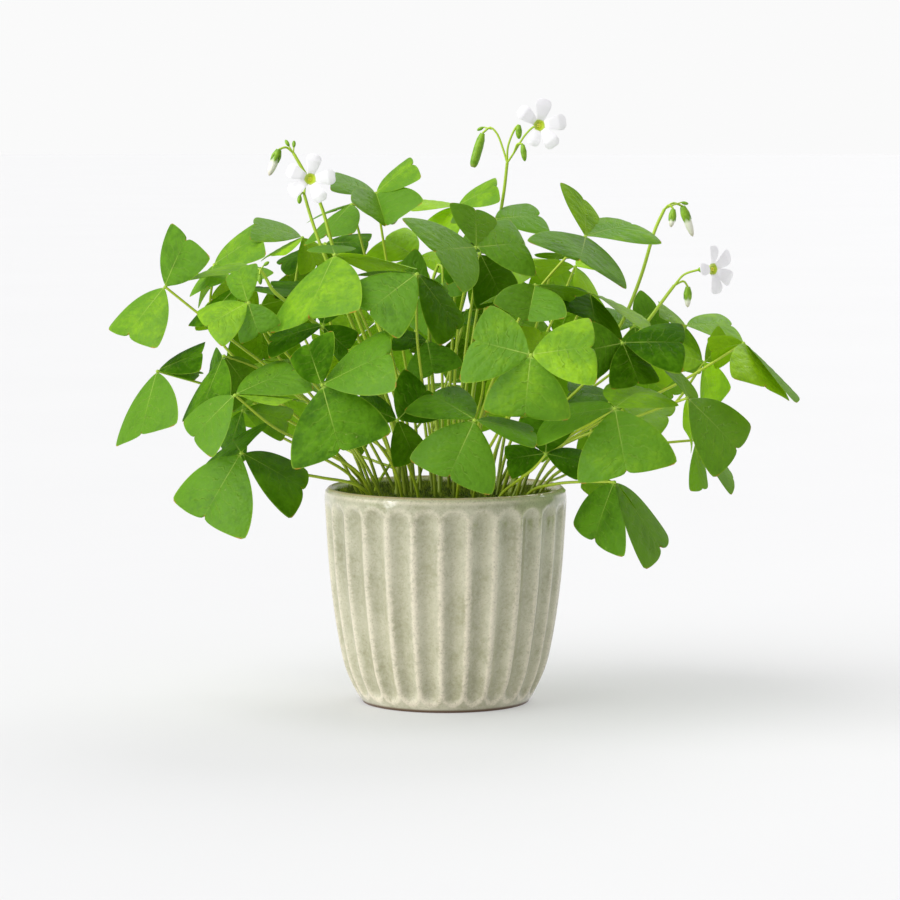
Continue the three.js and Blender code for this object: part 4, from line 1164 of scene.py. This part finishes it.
def in_pot(points):
    """The points over the soil. Some leaves hang lower than that, but outside the pot."""
    return [k for k, point in enumerate(points) if math.hypot(*point[:2]) < SOIL_RADIUS]


def leaf_route(node, joint):
    points, joined = welded(node)
    return [*climb(points, joined, lowest(points, in_pot(points))), joint]


def tuft_routes(node, tuft):
    """The routes of a tuft's stalks, which stand on a low crown."""
    points, joined = welded(node)
    crown = points[sorted(lowest(points, in_pot(points), CROWN_SIDES))].mean(axis=0)
    top = soil_top(math.hypot(*crown[:2])) + CROWN_PROUD
    free = {k for k in range(len(points)) if points[k][2] > top + OVER_CROWN}
    routes = {}
    while free:
        heap, edge = set(), {min(free)}
        while edge:
            heap |= edge
            edge = (set().union(*(joined[k] for k in edge)) & free) - heap
        free -= heap
        place = points[sorted(heap)]
        far = [np.linalg.norm(place - joint, axis=1).min() for joint, _ in tuft]
        near = int(np.argmin(far))
        inner = [joined[k] & heap for k in range(len(points))]
        joint = tuft[near][0]
        turn = math.pi / 4 + near * math.pi / 2 + math.atan2(joint[1] - crown[1], joint[0] - crown[0])
        foot = np.array([math.cos(turn), math.sin(turn)]) * CROWN_STALK + crown[:2]
        foot = np.array([*foot, top - CROWN_PROUD - CROWN_SINK])
        routes.setdefault(near, [foot, *climb(points, inner, lowest(points, heap)), joint])
    return [routes[k] for k in sorted(routes)]


routes = [leaf_route(name, joint) for name, (joint, _) in zip(LEAF_NAMES, leaves)]
for name, tuft in zip(TUFT_NAMES, tufts):
    routes += tuft_routes(name, tuft)
print("routes:", len(routes), "points:", sorted(len(route) for route in routes))


# %% Stalk rule
def stalk_tree(material):
    tree, given, put_out = geometry_tree("round_stalks", Sides=8)
    curve = add_node(tree, "GeometryNodeMeshToCurve", Mesh=given["Geometry"]).outputs[0]
    ring = add_node(tree, "GeometryNodeCurvePrimitiveCircle", Resolution=given["Sides"], Radius=1.0)
    tube = add_node(
        tree, "GeometryNodeCurveToMesh", Curve=curve, Profile_Curve=ring.outputs[0],
        Scale=stored(tree, "thick"), Fill_Caps=True,
    )
    end_tree(tree, put_out, tube.outputs[0], material)
    return tree


# %% Stalk finish
def green_stem(name, low, middle, top):
    """The finish of a stalk: darker at its foot, yellow-green above, with fine streaks."""
    made, tree, shader = finish(name, Roughness=0.42, Specular_IOR_Level=0.45)
    ripe = mark(tree, "ripe")
    streaks = cloudy(tree, 0.0035)
    body = blend(tree, between(tree, ripe, 0.0, 0.3), low, middle)
    body = blend(tree, between(tree, ripe, 0.3, 1.0), body, top)
    body = blend(tree, times(tree, streaks, 0.3), body, middle)
    tint(tree, shader, body)
    emboss(tree, shader, streaks, 0.1, 0.5)
    return made


# The foot colour of the leaf stalks is partly their own olive and partly painted shade down among the
# crowded stalks.
stalk_green = green_stem("stalk_green", colour(98, 112, 16), colour(160, 182, 36), colour(186, 208, 58))

# %% Leaf stalks
STALK_POINTS = 26
STALK_FOOT = 0.92
STALK_TIP = 0.64
STALK_TAPER = 0.7

lines = [flow(route, STALK_POINTS) for route in routes]
share = np.linspace(0, 1, STALK_POINTS)
taper = (STALK_FOOT + (STALK_TIP - STALK_FOOT) * share**STALK_TAPER) * MM
stalks = grow(
    "leaf_stalks",
    lines_object("stalk_lines", lines, thick=[taper] * len(lines), ripe=[share] * len(lines)),
    stalk_tree(stalk_green),
)
dress(stalks, "leaf", *LEAF_NAMES, *TUFT_NAMES)


# %% [markdown]
# ## Flowers
# A flower stalk ends in a small fork, and each branch hangs a bud or holds up a flower. A bud is a green
# calyx with the furled white petals pushing out of it, and a pod is a blunt green tube. An open flower is
# five broad petals round a yellow-green throat, with a short tube behind it. Branches leave the top of their
# stalk, unless they say where else they start. Places are across, up and in front of the pot's axis.

# %% Where the flowers are
def bud(place, path, wide, white=0.0, pod=False, start=None):
    """A branch that hangs a closed bud, or a pod. White is the share of it that its petals show."""
    return {"path": path, "bud": place, "wide": wide, "white": white, "pod": pod, "start": start}


def bloom(place, path, faces, petals):
    """A branch that holds up an open flower. Each petal is its bearing in degrees and its length."""
    return {"path": path, "bloom": place, "faces": faces, "petals": petals, "wide": 2, "start": None}


def scape(stalk, *sprays):
    """A flower stalk with its branches."""
    for spray in sprays:
        spray["path"].insert(0, spray["start"] or stalk[-1])
    return {"stalk": stalk, "sprays": sprays}


SCAPES = [
    scape(
        [[-55.5, 226, 0], [-62.4, 249.6, -4], [-73, 269.7, -6], [-75.4, 273.8, -7]],
        bud([-87.5, 262.5, -3], [[-79, 276.6, -6], [-82.5, 275.6, -5]], 2.4, white=0.52),
        bud([-79.4, 280.4, -9], [[-77.4, 277, -8]], 0.95),
        bud([-75, 280, -11], [[-75.2, 276.4, -9]], 0.95),
    ),
    scape(
        [[-62, 228, 18], [-66.5, 241, 16], [-70, 253, 14]],
        bud([-72.6, 248.6, 17.5], [[-71, 254.4, 16], [-72.2, 253, 17]], 1.2),
        bloom(
            [-67, 261, 22], [[-69.5, 257.5, 10.5]], [-0.05, -1, 0.02],
            [[78, 12.3], [5, 12.5], [-61, 12.5], [-145, 12.2], [156, 12.1]],
        ),
    ),
    scape(
        [[27, 242, -34], [29.2, 256, -32], [30.6, 268.9, -30]],
        bud(
            [13.6, 266.8, -35],
            [[28.8, 275, -31], [25.4, 283.6, -33], [22.2, 286.4, -34], [18.4, 283.6, -35]], 2.4, pod=True,
        ),
        bud([36.4, 280.6, -28], [[31, 277, -29], [34.6, 286, -28], [36.3, 287.8, -28]], 1.6),
        bud([15.6, 285, -37.5], [[19, 286.6, -36]], 0.9, start=[22.8, 285.6, -34]),
        bloom(
            [46.3, 287.4, -17], [[34, 274, -28], [39.4, 282.6, -27], [43.4, 286.6, -28]], [0.1, -1, 0.06],
            [[78, 13.5], [8, 13.5], [-54, 13.2], [-111, 10.8], [141, 12.9]],
        ),
        bud([39.4, 269.6, -23.5], [[36, 278.4, -25], [38.2, 278.2, -24]], 1.5, start=[34, 274, -28]),
    ),
    scape(
        [[89, 192, 6], [97.3, 213, 2], [104.1, 235.9, -3], [108.7, 246, -4]],
        bud([112, 237, 0], [[111, 248, -2], [113.1, 246.2, -1]], 1.9, white=0.3),
        bud([122.9, 232.4, -10], [[113, 249, -7], [117.6, 247.6, -9]], 2.3, white=0.5),
        bud([120.6, 248.6, -6], [[112, 247.6, -2], [117, 249.4, -5]], 0.9),
    ),
    scape(
        [[91.9, 179.6, 22], [100, 189.5, 24], [109.8, 202.9, 25], [113.8, 208.2, 25]],
        bloom(
            [132.1, 216.3, 33], [[118.7, 213.6, 26]], [0.68, -0.73, 0.06],
            [[91, 11.4], [31, 13.4], [-27, 13.2], [-84, 12.2], [180, 10]],
        ),
        bud([120.5, 197.2, 21], [[118.4, 210.2, 23], [120.5, 207.6, 22]], 2, white=0.35),
    ),
    scape(
        [[-7, 208, 24], [-5, 215, 25], [-3.5, 218.6, 26]],
        bud([0.6, 197, 31], [[-1.8, 217.4, 29], [-1.4, 209.4, 30]], 1.9, white=0.55),
    ),
    scape(
        [[-86, 206, 36], [-89.4, 212, 36], [-92, 216, 36]],
        bud([-92, 208.5, 39], [[-92.4, 213.6, 38]], 1.1),
        bud([-98, 216.4, 34], [[-94.4, 216.8, 35]], 0.9),
        bud([-87.6, 220, 34], [[-90.4, 218, 35]], 0.9),
    ),
]

# %% Flower stalks and their branches
FUNNEL_LENGTH = 5
CALYX_LENGTH = 3
BLOOM_GAP = 0.3
SCAPE_FOOT = 1.2
SCAPE_TIP = 0.8
SCAPE_JOIN = 6
SCAPE_POINTS = 40
PEDICEL_THICK = 0.55
PEDICEL_SLIM = 0.7
PEDICEL_POINTS = 14


def calyx_of(spray):
    """Where a flower's calyx begins and ends behind its throat, and the way that the flower faces."""
    axis = unit(np.array(spray["faces"], float))
    front = seen(*spray["bloom"]) - axis * (FUNNEL_LENGTH + BLOOM_GAP)
    return front - axis * CALYX_LENGTH, front, axis


def scape_route(node, stalk):
    """The route of a flower stalk: its rings up to where its own table begins."""
    points, joined = welded(node)
    rings = climb(points, joined, lowest(points, in_pot(points)))
    upper = [seen(*at) for at in stalk]
    return [*[ring for ring in rings if ring[2] < upper[0][2] - SCAPE_JOIN], *upper]


def scape_lines(k):
    """The lines of one flower stalk with their thicknesses."""
    stalk, sprays = SCAPES[k]["stalk"], SCAPES[k]["sprays"]
    lines = [flow(scape_route(f"scape_{k + 1}", stalk), SCAPE_POINTS)]
    thick = [np.linspace(SCAPE_FOOT, SCAPE_TIP, SCAPE_POINTS) * MM]
    ripe = [np.linspace(0, 1, SCAPE_POINTS)]
    for spray in sprays:
        ends = [calyx_of(spray)[0]] if "bloom" in spray else []
        lines.append(flow([*[seen(*at) for at in spray["path"]], *ends], PEDICEL_POINTS))
        size = PEDICEL_THICK if spray["wide"] > 1 else PEDICEL_THICK * PEDICEL_SLIM
        thick.append(np.full(PEDICEL_POINTS, size) * MM)
        ripe.append(np.ones(PEDICEL_POINTS))
    return lines, thick, ripe


# %% [markdown]
# ### Buds and calyces
# A bud is turned about its own axis: a slim neck, a swelling and a point, with five pointed sepals pressed
# to it. A number along the bud says where green ends and white begins.

# %% Bud parts
BUD_PROFILE = [
    (0, 0), (0.02, 0.3), (0.08, 0.5), (0.2, 0.78), (0.38, 0.97), (0.55, 1.0), (0.72, 0.9), (0.86, 0.66),
    (0.95, 0.38), (1.0, 0),
]
POD_PROFILE = [
    (0, 0), (0.02, 0.35), (0.07, 0.62), (0.18, 0.88), (0.4, 1.0), (0.74, 0.98), (0.9, 0.86), (0.97, 0.66),
    (1.0, 0.42), (1.0, 0),
]
CALYX_PROFILE = [(0, 0), (0.05, 0.6), (0.4, 1.4), (0.8, 1.65), (1, 1.2), (1, 0)]
SEPAL_OUTLINE = [(0.0, 0.0), (0.04, 0.16), (0.3, 0.2), (0.6, 0.17), (0.85, 0.08), (1.0, 0.0)]
SEPAL_GRID = blade_grid(SEPAL_OUTLINE, 9, np.array([0, 0.5, 1.0]))
GREEN_MARKS = ("ripe", "white", "blush")
FURLED = 0.86
SEPALS_FROM = 1.4
SEPALS_REACH = 0.86


def add_sepals(clay, start, end, radii, count=5, thick=0.3):
    """Pointed sepals round an axis from start to end. Radii are at their foot, middle and tip."""
    axis = unit(end - start)
    side, other = across_from(axis)
    s, t, v, u = SEPAL_GRID
    size = np.linalg.norm(end - start)
    radius = np.interp(s, [0, 0.5, 1], radii)
    for k in range(count):
        turn = 2 * math.pi * k / count + t * size / np.maximum(radius, 0.5)
        ray = np.cos(turn)[..., None] * side + np.sin(turn)[..., None] * other
        middle = start + (s * size)[..., None] * axis + radius[..., None] * ray
        half = (thick / 2 * swell(u, 4) * np.clip(v * (1 - v) * 12, 0, 1))[..., None] * ray
        add_sheet(clay, middle + half, middle - half, ripe=0.8)


def add_bud(clay, spray):
    start, end = seen(*spray["path"][-1]), seen(*spray["bud"])
    wide, white, pod = spray["wide"], spray["white"], spray["pod"]
    radius_scale = wide * (FURLED if white else 1)
    profile = [(share, radius * radius_scale) for share, radius in (POD_PROFILE if pod else BUD_PROFILE)]
    edge = 1 - white

    def whiteness(share):
        return np.clip((share - edge + 0.12) * 9, 0, 1) * (white > 0)

    def dried(share):
        """The tip of a pod or of furled petals is a little brown."""
        return np.clip((share - 0.93) * 14 if pod else (share - 0.8) * 5, 0, 1) * (pod or white > 0)

    add_turned(clay, start, end, profile, 12, ripe=0.6, white=whiteness, blush=dried)
    if wide > SEPALS_FROM:
        reach = start + (end - start) * (edge if white else SEPALS_REACH)
        add_sepals(clay, start, reach, [wide * 0.5, wide * 0.98, wide * (0.92 if white else 0.62)])


# %% Flower stalk finish
scape_green = green_stem(
    "flower_stalk_green", colour(124, 136, 28), colour(160, 186, 40), colour(168, 198, 52),
)

bud_finish, tree, shader = finish("bud_skin", Roughness=0.45, Specular_IOR_Level=0.4)
soft = cloudy(tree, 0.003)
body = blend(tree, soft, colour(104, 150, 20), colour(140, 182, 38))
body = blend(tree, mark(tree, "white"), body, colour(238, 238, 222))
body = blend(tree, times(tree, mark(tree, "blush"), 0.6), body, colour(176, 150, 116))
tint(tree, shader, body)
emboss(tree, shader, soft, 0.15, 0.6)

# %% Flower stalks
stem_tree = stalk_tree(scape_green)
for k, branching in enumerate(SCAPES):
    lines, thick, ripe = scape_lines(k)
    name = f"scape_{k + 1}"
    stem = grow(f"{name}_stem", lines_object("scape_lines", lines, thick=thick, ripe=ripe), stem_tree)
    dress(stem, "scape", name)
    clay = Clay(*GREEN_MARKS)
    for spray in branching["sprays"]:
        if "bloom" in spray:
            back, front, axis = calyx_of(spray)
            add_turned(clay, back, front, CALYX_PROFILE, 12, ripe=0.7)
            add_sepals(clay, back, front + axis * 3, [0.8, 1.75, 2.1])
        else:
            add_bud(clay, spray)
    dress(clay.object(f"{name}_buds", bud_finish), "scape", name)


# %% [markdown]
# ### Petals
# A petal is narrow at the throat and broad and round at its end. Its foot dives into the throat, its blade
# spreads flat and its end bends back a little, and each petal laps over the next one like a pinwheel.

# %% Petal finish
PETAL_MARKS = ("along", "aside", "centre")
petal_white, tree, shader = finish("petal_white", Roughness=0.5, Specular_IOR_Level=0.3)
along, aside, centre = (mark(tree, name) for name in PETAL_MARKS)
waves = add_node(tree, "ShaderNodeTexNoise", Scale=500.0, Detail=1.0, Vector=object_place(tree))
bent = plus(tree, times(tree, aside, 3.2), times(tree, waves.outputs["Fac"], 0.35))
vein = between(tree, maths(tree, "PINGPONG", bent, 0.5), 0.1, 0.0)
vein = times(tree, vein, between(tree, along, 0.95, 0.3, 0.0, 0.22))
body = blend(tree, vein, colour(253, 251, 255), colour(214, 212, 222))
body = blend(tree, between(tree, centre, 1.0, 0.74), body, colour(190, 212, 26))
tint(tree, shader, body)
emboss(tree, shader, use_group(tree, quilting, Size=0.0009, Warp=0.0004), 0.08, 0.5)
let_light_through(tree, shader, colour(250, 250, 250), 0.28)

anther_yellow, tree, shader = finish("anther_yellow", Roughness=0.6)
grains = cloudy(tree, 0.0006)
tint(tree, shader, blend(tree, grains, colour(206, 200, 40), colour(240, 234, 110)))

# %% Flowers
PETAL_OUTLINE = [
    (0.0, 0.0), (0.03, 0.07), (0.16, 0.12), (0.32, 0.175), (0.5, 0.24), (0.7, 0.295), (0.88, 0.295),
    (0.98, 0.2), (1.01, 0.12), (1.0, 0.0),
]
PETAL_GRID = blade_grid(PETAL_OUTLINE, 22, np.array([0, 0.2, 0.4, 0.6, 0.8, 0.92, 1.0]))
PETAL_THICK = 0.3
PETAL_RISE = ([0, 0.1, 0.2, 0.36, 0.74, 0.96, 1.0], [-3.6, -0.9, 1.0, 2.2, 2.9, 2.3, 2.1])
FUNNEL = [(0, 0), (0.02, 1.2), (0.5, 1.5), (0.96, 2.0), (1.0, 1.9), (0.9, 1.5), (0.5, 0)]
THROAT_CUP = [(0, 0), (0.1, 1.3), (0.6, 2.3), (1, 2.65), (0.97, 2.2), (0.6, 1.3), (0.45, 0)]
ANTHERS = 5
ANTHER = [(0, 0.2), (0.78, 0.2), (0.86, 0.36), (0.95, 0.34), (1, 0)]
CUP_BACK, CUP_FRONT = 1.2, 1.5
ANTHER_OUT, ANTHER_BACK, ANTHER_FRONT = 0.7, 3, 1.3


def add_petal(clay, place, bearing, length, draw):
    s, t, v, u = PETAL_GRID
    rise = np.interp(s, *PETAL_RISE) + 0.55 * t * length / 4 - draw.uniform(0.5, 1.2) * t**2 * length / 4
    rise += draw.uniform(-0.3, 0.3) * np.sin(3 * t * math.pi + draw.uniform() * 6) * s
    half = PETAL_THICK / 2 * swell(u, 4) * np.clip(v * (1 - v) * 20, 0, 1)
    upper, lower = (place(bearing, s * length, t * length, rise + side) for side in (half, -half))
    centre = (s * length / 3).ravel()
    add_sheet(clay, upper, lower, along=v.ravel(), aside=u.ravel(), centre=centre)


def bloom_objects(spray, name, draw):
    """The corolla of one flower, and the anthers in its throat."""
    _, front, axis = calyx_of(spray)
    middle = seen(*spray["bloom"])
    right = unit(np.cross(UP, axis))
    rise = np.cross(axis, right)

    def place(bearing, along, aside, forward):
        x = along * math.cos(bearing) - aside * math.sin(bearing)
        y = along * math.sin(bearing) + aside * math.cos(bearing)
        return middle + x[..., None] * right + y[..., None] * rise + forward[..., None] * axis

    corolla = Clay(*PETAL_MARKS)
    for degrees, length in spray["petals"]:
        add_petal(corolla, place, math.radians(degrees), length, draw)
    add_turned(corolla, front + axis * BLOOM_GAP, middle, FUNNEL, 14, along=0.5, centre=0.5)
    cup = middle - axis * CUP_BACK, middle + axis * CUP_FRONT
    add_turned(corolla, *cup, THROAT_CUP, 20, along=0.5, centre=0.5)
    anthers = Clay()
    for k in range(ANTHERS):
        turn = 2 * math.pi * k / ANTHERS
        spot = middle + ANTHER_OUT * (math.cos(turn) * right + math.sin(turn) * rise)
        add_turned(anthers, spot - axis * ANTHER_BACK, spot + axis * ANTHER_FRONT, ANTHER, 8)
    return corolla.object(f"{name}_petals", petal_white), anthers.object(f"{name}_anthers", anther_yellow)


flowers = [spray for one in SCAPES for spray in one["sprays"] if "bloom" in spray]
for k, spray in enumerate(flowers):
    name = f"bloom_{k + 1}"
    for piece in bloom_objects(spray, name, np.random.default_rng(70 + k)):
        dress(piece, "petal", name)


# %% [markdown]
# ## Sizes
# The dressed plant is meant to fill the same box as the plain one, and both boxes are printed side by side.

# %% Sizes
low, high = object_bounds()
boxes = {"cad": [*cad_low, *cad_high], "visual": [*low, *high]}
for label, box in boxes.items():
    print(label, "mm:", [round(v / MM, 1) for v in box])
